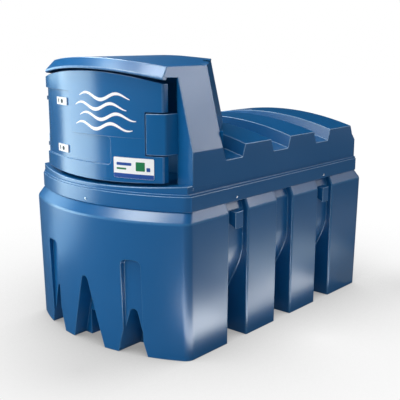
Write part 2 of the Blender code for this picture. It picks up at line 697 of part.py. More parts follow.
def make_hinge_leaf(label, height):
    # knuckle on the pin, and a flange that lies on the door's left edge
    axis = Vector(HINGE_AXIS)
    centre = Vector((0.0, DOOR_BOW - DOOR_FRONT))
    corner = Vector((DOOR_LEFT, bowed_side(DOOR_LEFT, DOOR_FRONT, DOOR_BOW)))
    radial = (corner - centre).normalized()
    leftwards = Vector((radial.y, -radial.x))
    middle = corner - radial * (DOOR_THICKNESS / 2) + leftwards * GAP
    low = height - LEAF_HALF_HEIGHT
    high = height + LEAF_HALF_HEIGHT
    seat = [middle - radial * LEAF_HALF_FLANGE, middle + radial * LEAF_HALF_FLANGE]
    seat += [point + leftwards * LEAF_THICKNESS for point in reversed(seat)]
    leaf = upright(f"hinge_leaf_{label}", [(point.x, point.y) for point in seat], low, high, "steel")
    arm = strip_between(axis, middle + leftwards * (LEAF_THICKNESS * 0.6), ARM_HALF_THICKNESS)
    combine(leaf, upright(f"leaf_arm_{label}", arm, low, high), 'UNION')
    combine(leaf, upright(f"leaf_knuckle_{label}", circle(KNUCKLE_RADIUS), low, high), 'UNION')
    hole = circle(PIN_RADIUS + PIN_CLEARANCE)
    combine(leaf, upright(f"leaf_hole_{label}", hole, low - OVERRUN, high + OVERRUN))
    return leaf


def make_hinge_bracket(label, height):
    # plate on the doorway's flange, two arms with knuckles, and the pin through them
    x, y = HINGE_AXIS
    face = JAMB_FACE - GAP
    left = x - ARM_HALF_THICKNESS
    plate = box_outline(left, left + BRACKET_WIDTH, face - BRACKET_THICKNESS, face)
    bracket = upright(f"hinge_bracket_{label}", plate, height - BRACKET_HALF_HEIGHT,
                      height + BRACKET_HALF_HEIGHT, "steel")
    root = face - BRACKET_THICKNESS / 2
    arm = [(left, y), (x + ARM_HALF_THICKNESS, y), (x + 3 * ARM_HALF_THICKNESS, root), (left, root)]
    inner = LEAF_HALF_HEIGHT + KNUCKLE_GAP
    for level, low, high in (("low", -BRACKET_HALF_HEIGHT, -inner), ("high", inner, BRACKET_HALF_HEIGHT)):
        for shape, outline in (("arm", arm), ("knuckle", circle(KNUCKLE_RADIUS))):
            tool = upright(f"bracket_{shape}_{label}_{level}", outline, height + low, height + high)
            combine(bracket, tool, 'UNION')
    ends = (height - PIN_HALF_LENGTH, height + PIN_HALF_LENGTH)
    pin = upright(f"hinge_pin_{label}", circle(PIN_RADIUS), *ends)
    combine(bracket, pin, 'UNION')


def make_hinge_plate(label, height):
    # bright plate bent to the sunk part of the door's face, over the hinge's fixing
    lift = PLATE_THICKNESS + GAP - RELIEF_DEPTH
    return bowed_panel(f"hinge_plate_{label}", PLATE_LEFT, PLATE_RIGHT, height - PLATE_HALF_HEIGHT,
                       height + PLATE_HALF_HEIGHT, lift, PLATE_THICKNESS, "steel", steps=6)


def make_label():
    # blank plate on the lower right part of the door's face
    lift = LABEL_THICKNESS + GAP - LOWER_STEP
    return bowed_panel("label_plate", LABEL_LEFT, LABEL_RIGHT, LABEL_BOTTOM, LABEL_TOP, lift, LABEL_THICKNESS,
                       "label", steps=6)


def hang_on_hinge(things):
    # the door and what it carries turn about an empty on the hinge axis
    hinge = bpy.data.objects.new("door_hinge_axis", None)
    hinge.location = (*HINGE_AXIS, sum(HINGE_HEIGHTS) / len(HINGE_HEIGHTS))
    bpy.context.scene.collection.objects.link(hinge)
    for thing in things:
        thing.parent = hinge
        thing.matrix_parent_inverse = Matrix.Translation(-hinge.location)


def make_lock_block():
    # housing of the lock: rounded front corner, carried by the doorway's flange
    def face(x):
        return bowed_side(x, DOOR_FRONT, DOOR_BOW) - LOCK_REACH

    seat = JAMB_FACE - GAP
    outline = [(LOCK_LEFT, face(LOCK_LEFT)), (LOCK_MIDDLE, face(LOCK_MIDDLE))]
    outline += arc_points(LOCK_RIGHT - LOCK_CORNER, face(LOCK_RIGHT) + LOCK_CORNER, LOCK_CORNER, -75, 0, 5)
    outline += [(LOCK_RIGHT + LOCK_SPREAD, seat), (LOCK_LEFT + LOCK_TAPER, seat),
                (LOCK_LEFT, face(LOCK_LEFT) + LOCK_TAPER)]
    loft("lock_block", [(LOCK_BOTTOM, outline), (LOCK_TOP, outline)], "polyethylene")


def make_lugs():
    back = GROOVE_BACK + GAP
    edge = LUG_FACE - LUG_CHAMFER
    right = [(back, LUG_BOTTOM + LUG_UNDERCUT), (edge, LUG_BOTTOM), (LUG_FACE, LUG_BOTTOM + LUG_CHAMFER),
             (LUG_FACE, LUG_TOP - LUG_CHAMFER), (edge, LUG_TOP), (back, LUG_TOP)]
    for end, y in zip(("near", "far"), LUG_PLACES):
        for side, outline in (("right", right), ("left", mirrored(right))):
            along_y(f"tie_lug_{side}_{end}", outline, y - LUG_HALF_WIDTH, y + LUG_HALF_WIDTH, "polyethylene")


def make_screw(name, place, outward):
    shape = bmesh.new()
    turn = Vector((0, 0, 1)).rotation_difference(Vector(outward)).to_matrix().to_4x4()
    centre = Vector(place) + Vector(outward) * (SCREW_HEAD / 2 + GAP)
    bmesh.ops.create_cone(shape, cap_ends=True, segments=12, radius1=SCREW_RADIUS,
                          radius2=SCREW_RADIUS * 0.75, depth=SCREW_HEAD,
                          matrix=Matrix.Translation(centre) @ turn)
    add_object(name, shape, "steel")


def make_screws():
    for end, y in zip(("near", "far"), LUG_PLACES):
        for side, sign in (("right", 1), ("left", -1)):
            make_screw(f"lid_screw_{side}_{end}", (sign * BAND_HALF_WIDTH, y, SCREW_HEIGHT), (sign, 0, 0))
    make_screw("lid_screw_front", (0, -BAND_FRONT, SCREW_HEIGHT), (0, -1, 0))
    make_screw("lid_screw_rear", (0, BAND_FRONT, SCREW_HEIGHT), (0, 1, 0))


def clear_scene():
    for thing in list(bpy.data.objects):
        bpy.data.objects.remove(thing)


def main():
    clear_scene()
    make_bund()
    make_lid()
    make_side_wall("cabinet_side_right", 1)
    make_side_wall("cabinet_side_left", -1)
    make_roof()
    make_rear_wall()
    on_door = [make_door(), make_label()]
    for label, height, plate_height in zip(("lower", "upper"), HINGE_HEIGHTS, PLATE_HEIGHTS):
        on_door += [make_hinge_plate(label, plate_height), make_hinge_leaf(label, height)]
        make_hinge_bracket(label, height)
    hang_on_hinge(on_door)
    make_lock_block()
    make_lugs()
    make_screws()


main()
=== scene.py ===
import json
import math

import bmesh
import bpy
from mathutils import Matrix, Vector

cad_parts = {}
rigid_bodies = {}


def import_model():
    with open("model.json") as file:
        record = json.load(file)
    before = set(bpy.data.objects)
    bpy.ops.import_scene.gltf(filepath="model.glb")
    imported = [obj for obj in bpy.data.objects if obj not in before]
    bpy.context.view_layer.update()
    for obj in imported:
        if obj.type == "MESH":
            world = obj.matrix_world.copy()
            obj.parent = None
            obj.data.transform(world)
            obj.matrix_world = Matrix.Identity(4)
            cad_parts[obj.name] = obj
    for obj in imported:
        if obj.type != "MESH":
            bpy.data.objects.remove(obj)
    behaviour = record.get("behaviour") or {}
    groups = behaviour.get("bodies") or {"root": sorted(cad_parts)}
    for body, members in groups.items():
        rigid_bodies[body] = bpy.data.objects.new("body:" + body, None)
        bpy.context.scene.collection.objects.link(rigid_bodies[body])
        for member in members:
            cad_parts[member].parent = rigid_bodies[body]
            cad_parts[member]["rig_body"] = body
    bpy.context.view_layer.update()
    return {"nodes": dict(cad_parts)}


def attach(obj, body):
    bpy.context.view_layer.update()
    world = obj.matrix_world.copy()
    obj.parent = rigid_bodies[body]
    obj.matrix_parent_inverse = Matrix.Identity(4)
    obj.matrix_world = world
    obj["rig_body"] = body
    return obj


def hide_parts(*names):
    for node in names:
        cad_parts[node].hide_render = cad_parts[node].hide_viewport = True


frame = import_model()

# Metres, in the frame's own place: +Z up, the door at the -Y end, +X the long side on the right.

near = 0.001    # how close to a surface still counts as on it
gap = 0.0003    # kept between pieces that touch
facing = 0.9    # a normal or an edge with a larger share along an axis counts as along it


# Small tools for modelling

def deselectAll():
    bpy.ops.object.select_all(action='DESELECT')


def pickObject(thing):
    deselectAll()
    thing.select_set(True)
    bpy.context.view_layer.objects.active = thing


def addBlock(name, low, high):
    # a box between its lowest and highest corner
    deselectAll()
    centre = [(a + b) / 2 for a, b in zip(low, high)]
    bpy.ops.mesh.primitive_cube_add(size=1, location=centre, scale=[b - a for a, b in zip(low, high)])
    block = bpy.context.active_object
    block.name = name
    bpy.ops.object.transform_apply(location=True, rotation=True, scale=True)
    return block


def addPrism(name, outline, start, end, along='Y'):
    # an outline drawn as a flat face across an axis, then extruded along it
    deselectAll()
    bpy.ops.mesh.primitive_circle_add(vertices=len(outline), fill_type='NGON')
    prism = bpy.context.active_object
    prism.name = name
    for vertex, (u, v) in zip(prism.data.vertices, outline):
        vertex.co = {'X': (start, u, v), 'Y': (u, start, v), 'Z': (u, v, start)}[along]
    run = end - start
    move = {'X': (run, 0, 0), 'Y': (0, run, 0), 'Z': (0, 0, run)}[along]
    bpy.ops.object.mode_set(mode='EDIT')
    bpy.ops.mesh.select_all(action='SELECT')
    bpy.ops.mesh.extrude_region_move(TRANSFORM_OT_translate={"value": move})
    bpy.ops.mesh.select_all(action='SELECT')
    bpy.ops.mesh.normals_make_consistent(inside=False)
    bpy.ops.object.mode_set(mode='OBJECT')
    return prism


def arc(centreU, centreV, radius, startAngle, endAngle, steps):
    # points of an arc, angles in degrees
    points = []
    for step in range(steps + 1):
        angle = math.radians(startAngle + (endAngle - startAngle) * step / steps)
        points.append((centreU + radius * math.cos(angle), centreV + radius * math.sin(angle)))
    return points


def mirrored(outline):
    return [(-u, v) for u, v in reversed(outline)]


def combine(piece, tool, operation='DIFFERENCE'):
    step = piece.modifiers.new("cut", 'BOOLEAN')
    step.operation = operation
    step.solver = 'EXACT'
    step.object = tool
    pickObject(piece)
    bpy.ops.object.modifier_apply(modifier=step.name)
    bpy.data.objects.remove(tool)


def cut(piece, outline, start, end, along='Y'):
    combine(piece, addPrism("cutter", outline, start, end, along))


def selectParts(piece, facesWhere=None, edgesWhere=None):
    # to be called in edit mode; picks faces by centre and normal, or edges by middle and direction
    shape = bmesh.from_edit_mesh(piece.data)
    bpy.ops.mesh.select_mode(type='FACE' if facesWhere else 'EDGE')
    bpy.ops.mesh.select_all(action='DESELECT')
    if facesWhere:
        for face in shape.faces:
            face.select = facesWhere(face.calc_center_median(), face.normal)
    else:
        for edge in shape.edges:
            start, end = (corner.co for corner in edge.verts)
            edge.select = edgesWhere((start + end) / 2, (end - start).normalized())
    shape.select_flush_mode()
    bmesh.update_edit_mesh(piece.data)


def drawUp(rings, now):
    # extrudes the selected top ring by ring; a ring is half its width, its front and its height
    middle = (0, 0, now[2])
    for half, front, height in rings:
        bpy.ops.mesh.extrude_region_move(TRANSFORM_OT_translate={"value": (0, 0, height - now[2])})
        bpy.ops.transform.resize(value=(half / now[0], front / now[1], 1), center_override=middle)
        now = (half, front, height)


def turnCorners(body, sizes, where):
    # rounds the upright corners in plan, in edit mode, and leaves it
    selectParts(body, edgesWhere=where)
    bpy.ops.mesh.bevel(offset=sizes["cornerRun"], offset_type='OFFSET', segments=sizes["cornerSteps"])
    bpy.ops.object.mode_set(mode='OBJECT')


def bisectAt(piece, cuts, fill=False, clear=False):
    # straight cuts through a whole piece; cuts are (point, normal), and clear drops the normal's side
    pickObject(piece)
    bpy.ops.object.mode_set(mode='EDIT')
    bpy.ops.mesh.select_mode(type='VERT')
    for point, normal in cuts:
        bpy.ops.mesh.select_all(action='SELECT')
        bpy.ops.mesh.bisect(plane_co=point, plane_no=normal, use_fill=fill, clear_outer=clear)
    bpy.ops.object.mode_set(mode='OBJECT')


def sliceAcross(piece, low, high, slices):
    # even cuts across X, so that the piece can bend smoothly
    run = high - low
    bisectAt(piece, [((low + run * step / slices, 0, 0), (1, 0, 0)) for step in range(1, slices)])


def copyNode(node, name):
    # a copy of a CAD node, its loose triangles merged and its flat faces joined
    mergeWithin, flatWithin = 0.00004, 0.3
    piece = bpy.data.objects.new(name, frame["nodes"][node].data.copy())
    bpy.context.scene.collection.objects.link(piece)
    piece.data.materials.clear()
    pickObject(piece)
    bpy.ops.object.mode_set(mode='EDIT')
    bpy.ops.mesh.select_all(action='SELECT')
    bpy.ops.mesh.remove_doubles(threshold=mergeWithin)
    bpy.ops.mesh.dissolve_limited(angle_limit=math.radians(flatWithin))
    bpy.ops.object.mode_set(mode='OBJECT')
    return piece


def roundEdges(piece, widthOf, steps=3, sharpest=20, clamp=False, highlightOf=None):
    # widthOf(middle, direction, turn) gives an edge's rounding; turn is in degrees, negative in a hollow
    shape = bmesh.new()
    shape.from_mesh(piece.data)
    shape.normal_update()
    found = {}
    for edge in shape.edges:
        if len(edge.link_faces) != 2:
            continue
        turn = math.degrees(edge.calc_face_angle_signed(0))
        if abs(turn) < sharpest:
            continue
        start, end = (corner.co for corner in edge.verts)
        width = widthOf((start + end) / 2, (end - start).normalized(), turn)
        if width:
            found[edge.index] = width
    widest = max(found.values())
    weights = shape.edges.layers.float.new("bevel_weight_edge")
    shape.edges.ensure_lookup_table()
    for index, width in found.items():
        shape.edges[index][weights] = width / widest
    shape.to_mesh(piece.data)
    shape.free()
    while len(piece.data.materials) < 2:
        piece.data.materials.append(None)
    bevel = piece.modifiers.new("rounding", 'BEVEL')
    bevel.limit_method = 'WEIGHT'
    bevel.width = widest
    bevel.segments = steps
    bevel.use_clamp_overlap = clamp
    bevel.material = 1
    bevel.miter_outer = 'MITER_ARC'
    pickObject(piece)
    bpy.ops.object.modifier_apply(modifier=bevel.name)
    markEdges(piece, highlightOf)


def markEdges(piece, highlightOf):
    # inside the rounded strips an attribute says how strong the painted highlight on the edge is
    mesh = piece.data
    shape = bmesh.new()
    shape.from_mesh(mesh)
    paintedHighlight = shape.verts.layers.float.new("paintedHighlight")
    for corner in shape.verts:
        onStrip = all(face.material_index == 1 for face in corner.link_faces)
        corner[paintedHighlight] = (highlightOf(corner.co) if highlightOf else 1.0) if onStrip else 0.0
    for face in shape.faces:
        face.material_index = 0
    shape.to_mesh(mesh)
    shape.free()
    mesh.materials.clear()


def settle(piece, finish, body, nodes=(), angle=42):
    # finish a piece: even shading, material, the body it rides on, and the nodes that it stands for
    pickObject(piece)
    bpy.ops.object.shade_smooth_by_angle(angle=math.radians(angle))
    weighted = piece.modifiers.new("evenShading", 'WEIGHTED_NORMAL')
    weighted.keep_sharp = True
    bpy.ops.object.modifier_apply(modifier=weighted.name)
    piece.data.materials.clear()
    piece.data.materials.append(finishes[finish])
    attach(piece, body)
    if nodes:
        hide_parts(*nodes)


# Finishes

moulding = {
    "grainNoise": (620.0, 3.0, 0.6), "driftNoise": (2.3, 3.0, 0.5),        # scale, detail and roughness
    "speckNoise": (260.0, 1.0, 0.5), "patchNoise": (34.0, 4.0, 0.65),
    # the two ranges after the specks set how patchy the painted edge highlight is
    "drift": 0.05, "specks": 0.03, "highlightShare": (0.5, 1.1), "highlightFrom": (0.3, 0.7), "glossDrift": 0.04,
    "specular": 0.7, "bumpStrength": 0.14, "bumpDistance": 0.0005,
}
brushing = {"noise": (180.0, 4.0, 0.5), "smoother": 0.08, "rougher": 0.1, "darkest": 0.86}


def newGroup(name, inputs, outputs):
    group = bpy.data.node_groups.new(name, 'ShaderNodeTree')
    for label, kind in inputs.items():
        group.interface.new_socket(label, in_out='INPUT', socket_type=kind)
    for label, kind in outputs.items():
        group.interface.new_socket(label, in_out='OUTPUT', socket_type=kind)
    return group, group.nodes.new('NodeGroupInput'), group.nodes.new('NodeGroupOutput')


def newMaterial(name):
    material = bpy.data.materials.new(name)
    material.use_nodes = True
    return material, material.node_tree


def addNode(tree, kind, **settings):
    node = tree.nodes.new(kind)
    for key, value in settings.items():
        if key in node.inputs:
            node.inputs[key].default_value = value
        else:
            setattr(node, key, value)
    return node


def placeOn(tree):
    return addNode(tree, 'ShaderNodeTexCoord').outputs["Object"]


def noiseAt(tree, place, scale, detail, rough):
    noise = addNode(tree, 'ShaderNodeTexNoise', Scale=scale, Detail=detail, Roughness=rough)
    tree.links.new(place, noise.inputs["Vector"])
    return noise.outputs["Fac"]


def ramp(tree, value, low, high, fromLow=0.0, fromHigh=1.0):
    node = tree.nodes.new('ShaderNodeMapRange')
    node.inputs["From Min"].default_value = fromLow
    node.inputs["From Max"].default_value = fromHigh
    node.inputs["To Min"].default_value = low
    node.inputs["To Max"].default_value = high
    tree.links.new(value, node.inputs["Value"])
    return node.outputs["Result"]


def calculate(tree, operation, *values, clamp=False):
    # a Math node; each value is a socket or a plain number
    node = addNode(tree, 'ShaderNodeMath', operation=operation, use_clamp=clamp)
    for socket, value in zip(node.inputs, values):
        if isinstance(value, float):
            socket.default_value = value
        else:
            tree.links.new(value, socket)
    return node.outputs[0]


def colourMix(tree, factor):
    # of a Mix node, inputs 6 and 7 are its two colours and output 2 is their blend
    node = addNode(tree, 'ShaderNodeMix', data_type='RGBA')
    tree.links.new(factor, node.inputs["Factor"])
    return node.inputs[6], node.inputs[7], node.outputs[2]


def buildGrainGroup():
    # fine orange-peel grain of a rotational moulding
    group, given, result = newGroup("mouldedGrain", {"Grain": 'NodeSocketFloat'},
                                    {"Height": 'NodeSocketFloat'})
    fine = noiseAt(group, placeOn(group), *moulding["grainNoise"])
    height = calculate(group, 'MULTIPLY', fine, given.outputs["Grain"])
    group.links.new(height, result.inputs["Height"])
    return group


def buildToneGroup():
    # slow drift of the colour, tiny pigment specks, and a patchy painted highlight on the rounded edges
    m = moulding
    group, given, result = newGroup(
        "mouldedTone",
        {"Color": 'NodeSocketColor', "Rubbed Color": 'NodeSocketColor',
         "Drift": 'NodeSocketFloat', "Rub": 'NodeSocketFloat'},
        {"Color": 'NodeSocketColor', "Roughness Shift": 'NodeSocketFloat'})
    place = placeOn(group)
    drift = noiseAt(group, place, *m["driftNoise"])
    specks = noiseAt(group, place, *m["speckNoise"])
    patchy = noiseAt(group, place, *m["patchNoise"])
    edge = addNode(group, 'ShaderNodeAttribute', attribute_name="paintedHighlight").outputs["Fac"]
    bright = calculate(group, 'MULTIPLY_ADD', ramp(group, drift, -1.0, 1.0), given.outputs["Drift"],
                       ramp(group, specks, 1 - m["specks"], 1 + m["specks"]))
    tinted = addNode(group, 'ShaderNodeVectorMath', operation='SCALE')
    group.links.new(given.outputs["Color"], tinted.inputs[0])
    group.links.new(bright, tinted.inputs["Scale"])
    # the painted highlight on the edges, made patchy by noise
    highlit = calculate(group, 'MULTIPLY', edge, ramp(group, patchy, *m["highlightShare"], *m["highlightFrom"]))
    highlit = calculate(group, 'MULTIPLY', highlit, given.outputs["Rub"], clamp=True)
    plain, paintedHighlight, blended = colourMix(group, highlit)
    group.links.new(tinted.outputs[0], plain)
    group.links.new(given.outputs["Rubbed Color"], paintedHighlight)
    group.links.new(blended, result.inputs["Color"])
    group.links.new(ramp(group, drift, -m["glossDrift"], m["glossDrift"]), result.inputs["Roughness Shift"])
    return group


grainGroup = buildGrainGroup()
toneGroup = buildToneGroup()


def placeGroup(tree, group, **values):
    node = tree.nodes.new('ShaderNodeGroup')
    node.node_tree = group
    for key, value in values.items():
        node.inputs[key.replace("_", " ")].default_value = value
    return node


def mouldedPlastic(name, colour, paintedHighlight, roughness, edgeHighlight=0.5, grain=0.4):
    # the second colour is painted on the rounded edges as a highlight
    m = moulding
    material, tree = newMaterial(name)
    shader = tree.nodes["Principled BSDF"]
    shader.inputs["Specular IOR Level"].default_value = m["specular"]
    tone = placeGroup(tree, toneGroup, Color=(*colour, 1), Rubbed_Color=(*paintedHighlight, 1), Drift=m["drift"],
                      Rub=edgeHighlight)
    grainNode = placeGroup(tree, grainGroup, Grain=grain)
    bump = addNode(tree, 'ShaderNodeBump', Strength=m["bumpStrength"], Distance=m["bumpDistance"])
    tree.links.new(grainNode.outputs["Height"], bump.inputs["Height"])
    tree.links.new(bump.outputs["Normal"], shader.inputs["Normal"])
    tree.links.new(tone.outputs["Color"], shader.inputs["Base Color"])
    satin = calculate(tree, 'ADD', tone.outputs["Roughness Shift"], roughness)
    tree.links.new(satin, shader.inputs["Roughness"])
    return material


def plainFinish(name, colour, roughness, metallic=0.9):
    # metal or paint whose tone and gloss vary a little
    material, tree = newMaterial(name)
    shader = tree.nodes["Principled BSDF"]
    shader.inputs["Metallic"].default_value = metallic
    brushed = noiseAt(tree, placeOn(tree), *brushing["noise"])
    gloss = ramp(tree, brushed, roughness - brushing["smoother"], roughness + brushing["rougher"])
    tree.links.new(gloss, shader.inputs["Roughness"])
    dark, light, blended = colourMix(tree, brushed)
    dark.default_value = (*[part * brushing["darkest"] for part in colour], 1)
    light.default_value = (*colour, 1)
    tree.links.new(blended, shader.inputs["Base Color"])
    return material


bodyBlue = (0.002, 0.104, 0.300)
# lighter blues painted on the rounded edges as highlights, for the bund and for the other mouldings
bundHighlightBlue = (0.060, 0.220, 0.430)
paleHighlightBlue = (0.420, 0.610, 0.800)

finishes = {
    "bund": mouldedPlastic("bundBlue", bodyBlue, bundHighlightBlue, 0.30),
    "lid": mouldedPlastic("lidBlue", bodyBlue, paleHighlightBlue, 0.30, edgeHighlight=1.0),
    "cabinet": mouldedPlastic("cabinetBlue", bodyBlue, paleHighlightBlue, 0.30, grain=0.28),
    "door": mouldedPlastic("doorBlue", bodyBlue, paleHighlightBlue, 0.225),
    "lug": mouldedPlastic("lugBlue", bodyBlue, paleHighlightBlue, 0.30, edgeHighlight=0.8),
    "steel": plainFinish("zincSteel", (0.85, 0.86, 0.87), 0.34),
    "paintedPlate": plainFinish("whitePlate", (0.90, 0.91, 0.92), 0.32, 0.0),
    # the black finish serves the bolts and the painted shade in the slots
    "darkBoltAndSlotShade": plainFinish("blackBoltAndSlotShade", (0.015, 0.016, 0.018), 0.42, 0.6),
    "paint": plainFinish("whitePaint", (0.90, 0.91, 0.92), 0.42, 0.0),
    "label": plainFinish("labelWhite", (0.92, 0.93, 0.94), 0.30, 0.0),
    "labelBlue": plainFinish("labelBlue", (0.010, 0.070, 0.330), 0.34, 0.0),
    "labelGreen": plainFinish("labelGreen", (0.010, 0.200, 0.070), 0.34, 0.0),
}
print("finishes ready")


# The bund: shaped straight first, and then its two ends are bowed

bund = {
    "footHalf": 0.728, "footFront": 1.224, "footBows": (1.37, 1.62),        # bows: cabinet end, far end
    "shoulderHalf": 0.733, "shoulderFront": 1.256, "shoulderBows": (1.30, 1.58), "shoulderHeight": 0.891,
    "rimHalf": 0.704, "rimFront": 1.196, "rimHeight": 0.957,
    "cornerRun": 0.034, "cornerSteps": 9,
    "straightUpTo": 0.66, "bowedFrom": 0.95, "slices": 30,
    "grooves": ((-0.632, -0.433), (-0.096, 0.096), (0.433, 0.632)), "sideEnd": 0.7,
    "grooveBack": 0.685, "grooveToe": 0.500, "curveTop": 0.66, "curveEnd": 0.46, "grooveSlope": 0.50,
    "recessCentre": 0.3815, "recessHalf": 0.0675, "recessTop": 0.637, "recessFace": 1.209,
    "recessRound": 0.035,
    "tunnelCentre": 0.372, "tunnelHalf": 0.104, "tunnelApex": 0.305, "tunnelEnd": 1.024,
    "notchHalf": 0.152, "notchApex": 0.469, "notchBack": 1.118, "apexRadius": 0.028,
    "bayHalf": 0.085, "bayHeight": 0.180, "bayEnd": 1.018,
    "pillarRound": 0.015, "shoulderRound": 0.011, "fillet": 0.006, "cutRound": 0.006, "footRound": 0.005,
    "rimRound": 0.003,
    "beside": 0.85, "above": 1.05, "below": -0.05, "beyond": 1.40,    # where the cuts end, clear of the tank
}


def arcDepth(x, radius):
    # how far an arc has fallen back at x from its middle
    return radius - math.sqrt(max(radius * radius - x * x, 0.0))


def share(value, start, end):
    return min(max((value - start) / (end - start), 0.0), 1.0)


def bundBow(x, y, z):
    end = 0 if y < 0 else 1
    foot, shoulder = bund["footBows"][end], bund["shoulderBows"][end]
    return arcDepth(x, foot + (shoulder - foot) * share(z, 0, bund["shoulderHeight"]))


def bowEnds(piece, bow, sizes):
    for vertex in piece.data.vertices:
        x, y, z = vertex.co
        shift = bow(x, y, z) * share(abs(y), sizes["straightUpTo"], sizes["bowedFrom"])
        vertex.co.y -= math.copysign(shift, y)


def shapeBundBody():
    b = bund
    foot = (b["footHalf"], b["footFront"])
    shoulder = (b["shoulderHalf"], b["shoulderFront"], b["shoulderHeight"])
    body = addBlock("bundTank", (-foot[0], -foot[1], 0), (*foot, b["shoulderHeight"]))
    bpy.ops.object.mode_set(mode='EDIT')
    selectParts(body, facesWhere=lambda centre, normal: normal.z > facing)
    bpy.ops.transform.resize(value=(shoulder[0] / foot[0], shoulder[1] / foot[1], 1),
                             center_override=(0, 0, b["shoulderHeight"]))
    drawUp([(b["rimHalf"], b["rimFront"], b["rimHeight"])], shoulder)
    turnCorners(body, b, lambda middle, way: abs(way.z) > 0.5)
    return body


def grooveOutline():
    # section across X of a side groove: its back slopes like the shoulder, drops, and runs in under the tank
    b = bund
    steps = 10
    span = b["curveTop"] - b["curveEnd"]
    slope = (b["shoulderHalf"] - b["rimHalf"]) / (b["rimHeight"] - b["shoulderHeight"])
    back = [(b["grooveBack"] - slope * (b["above"] - b["shoulderHeight"]), b["above"]),
            (b["grooveBack"], b["shoulderHeight"])]
    for step in range(steps + 1):
        drop = span * step / steps
        back.append((b["grooveBack"] - b["grooveSlope"] * drop * drop / (2 * span), b["curveTop"] - drop))
    endX, endZ = back[-1]
    back.append((b["grooveToe"], endZ - (endX - b["grooveToe"]) / b["grooveSlope"]))
    back.append((b["grooveToe"], b["below"]))
    return [(b["beside"], b["below"]), (b["beside"], b["above"])] + back


def archOutline(centre, halfFoot, apex):
    # inverted V with a round top, its foot width measured on the ground
    radius, below = bund["apexRadius"], bund["below"]
    lean = math.atan2(halfFoot - radius, apex)
    turn = math.degrees(lean)
    spread = halfFoot - below * math.tan(lean)
    top = arc(centre, apex - radius, radius, turn, 180 - turn, 12)
    return [(centre + spread, below)] + top + [(centre - spread, below)]


def recessOutline(centre):
    below = bund["below"]
    half, top, turn = bund["recessHalf"], bund["recessTop"], bund["recessRound"]
    right = arc(centre + half - turn, top - turn, turn, 0, 90, 6)
    left = arc(centre - half + turn, top - turn, turn, 90, 180, 6)
    return [(centre + half, below)] + right + left + [(centre - half, below)]


def bundRounding(middle, way, turn):
    b = bund
    if middle.z < near:
        return b["footRound"]
    if middle.z > b["rimHeight"] - near:
        return b["rimRound"]
    if turn < 0:
        return b["fillet"]
    onSide = abs(middle.x) > b["rimHalf"] - 0.01 and abs(middle.y) < b["sideEnd"]
    if onSide and abs(way.z) > 0.6:
        return b["pillarRound"]
    if abs(middle.z - b["shoulderHeight"]) < 2 * near:
        return b["shoulderRound"]
    return b["cutRound"]


def makeBund():
    b = bund
    body = shapeBundBody()
    right = grooveOutline()
    for start, end in b["grooves"]:
        for outline in (right, mirrored(right)):
            cut(body, outline, start, end)
    for sign in (-1, 1):
        outside = sign * b["beyond"]
        for side in (-1, 1):
            cut(body, recessOutline(side * b["recessCentre"]), outside, sign * b["recessFace"])
            arch = archOutline(side * b["tunnelCentre"], b["tunnelHalf"], b["tunnelApex"])
            cut(body, arch, outside, sign * b["tunnelEnd"])
        cut(body, archOutline(0.0, b["notchHalf"], b["notchApex"]), outside, sign * b["notchBack"])
        half, top, below = b["bayHalf"], b["bayHeight"], b["below"]
        cut(body, [(-half, below), (half, below), (half, top), (-half, top)], outside, sign * b["bayEnd"])
    print("bund cut", len(body.data.polygons), "faces")
    roundEdges(body, bundRounding, steps=4)
    sliceAcross(body, -b["shoulderHalf"], b["shoulderHalf"], b["slices"])
    bowEnds(body, bundBow, b)
    settle(body, "bund", "root", ["bund_tank"])
    print("bund", len(body.data.polygons), "faces")


makeBund()


# The lid: skirt band, ledge and deck, and the ribbed crown behind the cabinet

lid = {
    "bandHalf": 0.712, "bandFront": 1.206, "bandLow": 0.9573, "bandTop": 1.052,
    "ledgeHalf": 0.704, "ledgeFront": 1.199, "ledgeFoot": 1.053, "ledgeTop": 1.065,
    "wallHalf": 0.690, "wallFront": 1.190, "wallFoot": 1.067, "deck": 1.100,
    "sillDip": 0.012, "sillRise": 0.058, "sillEnd": 0.003, "sillBehind": 0.012, "liftGap": 0.003,
    "cornerRun": 0.034, "cornerSteps": 9, "bows": (1.30, 1.58), "straightUpTo": 0.99, "bowedFrom": 1.19,
    "panelRear": -0.653, "doorway": -0.942, "crownTop": 1.417,
    "crownDrop": 0.100, "dropStart": 1.12, "dropFull": 1.27,
    "channels": ((-0.650, -0.415), (-0.126, 0.111), (0.418, 0.645)),
    "channelDepth": 0.083, "channelLean": 0.030,
    "stepTop": 0.955, "stepFoot": 0.985, "stepDrop": 0.072, "rearFall": 0.049, "overStep": 0.024,
    "plinthFront": (0.688, -0.649), "plinthRear": (0.312, -0.219), "plinthFoot": 1.15, "plinthTop": 1.421,
    "slices": 34, "bandRound": 0.003, "ledgeRound": 0.002, "sillRound": 0.007, "ribRound": 0.004,
    # the last value on the next line weakens the painted edge highlight on the lid's outline
    "hollowRound": 0.004, "footRound": 0.003, "lighterRub": 0.6,
    "beside": 0.9, "beyond": 1.40,        # where the cuts end, clear of the lid
}


def shapeSkirt():
    l = lid
    band = (l["bandHalf"], l["bandFront"])
    body = addBlock("lid", (-band[0], -band[1], l["bandLow"]), (*band, l["bandTop"]))
    bpy.ops.object.mode_set(mode='EDIT')
    selectParts(body, facesWhere=lambda centre, normal: normal.z > facing)
    ledge, wall = (l["ledgeHalf"], l["ledgeFront"]), (l["wallHalf"], l["wallFront"])
    rings = [(*ledge, l["ledgeFoot"]), (*ledge, l["ledgeTop"]), (*wall, l["wallFoot"]), (*wall, l["deck"])]
    drawUp(rings, (*band, l["bandTop"]))
    turnCorners(body, l, lambda middle, way: abs(middle.x) > 0.5 and abs(middle.y) > 1.0)
    return body


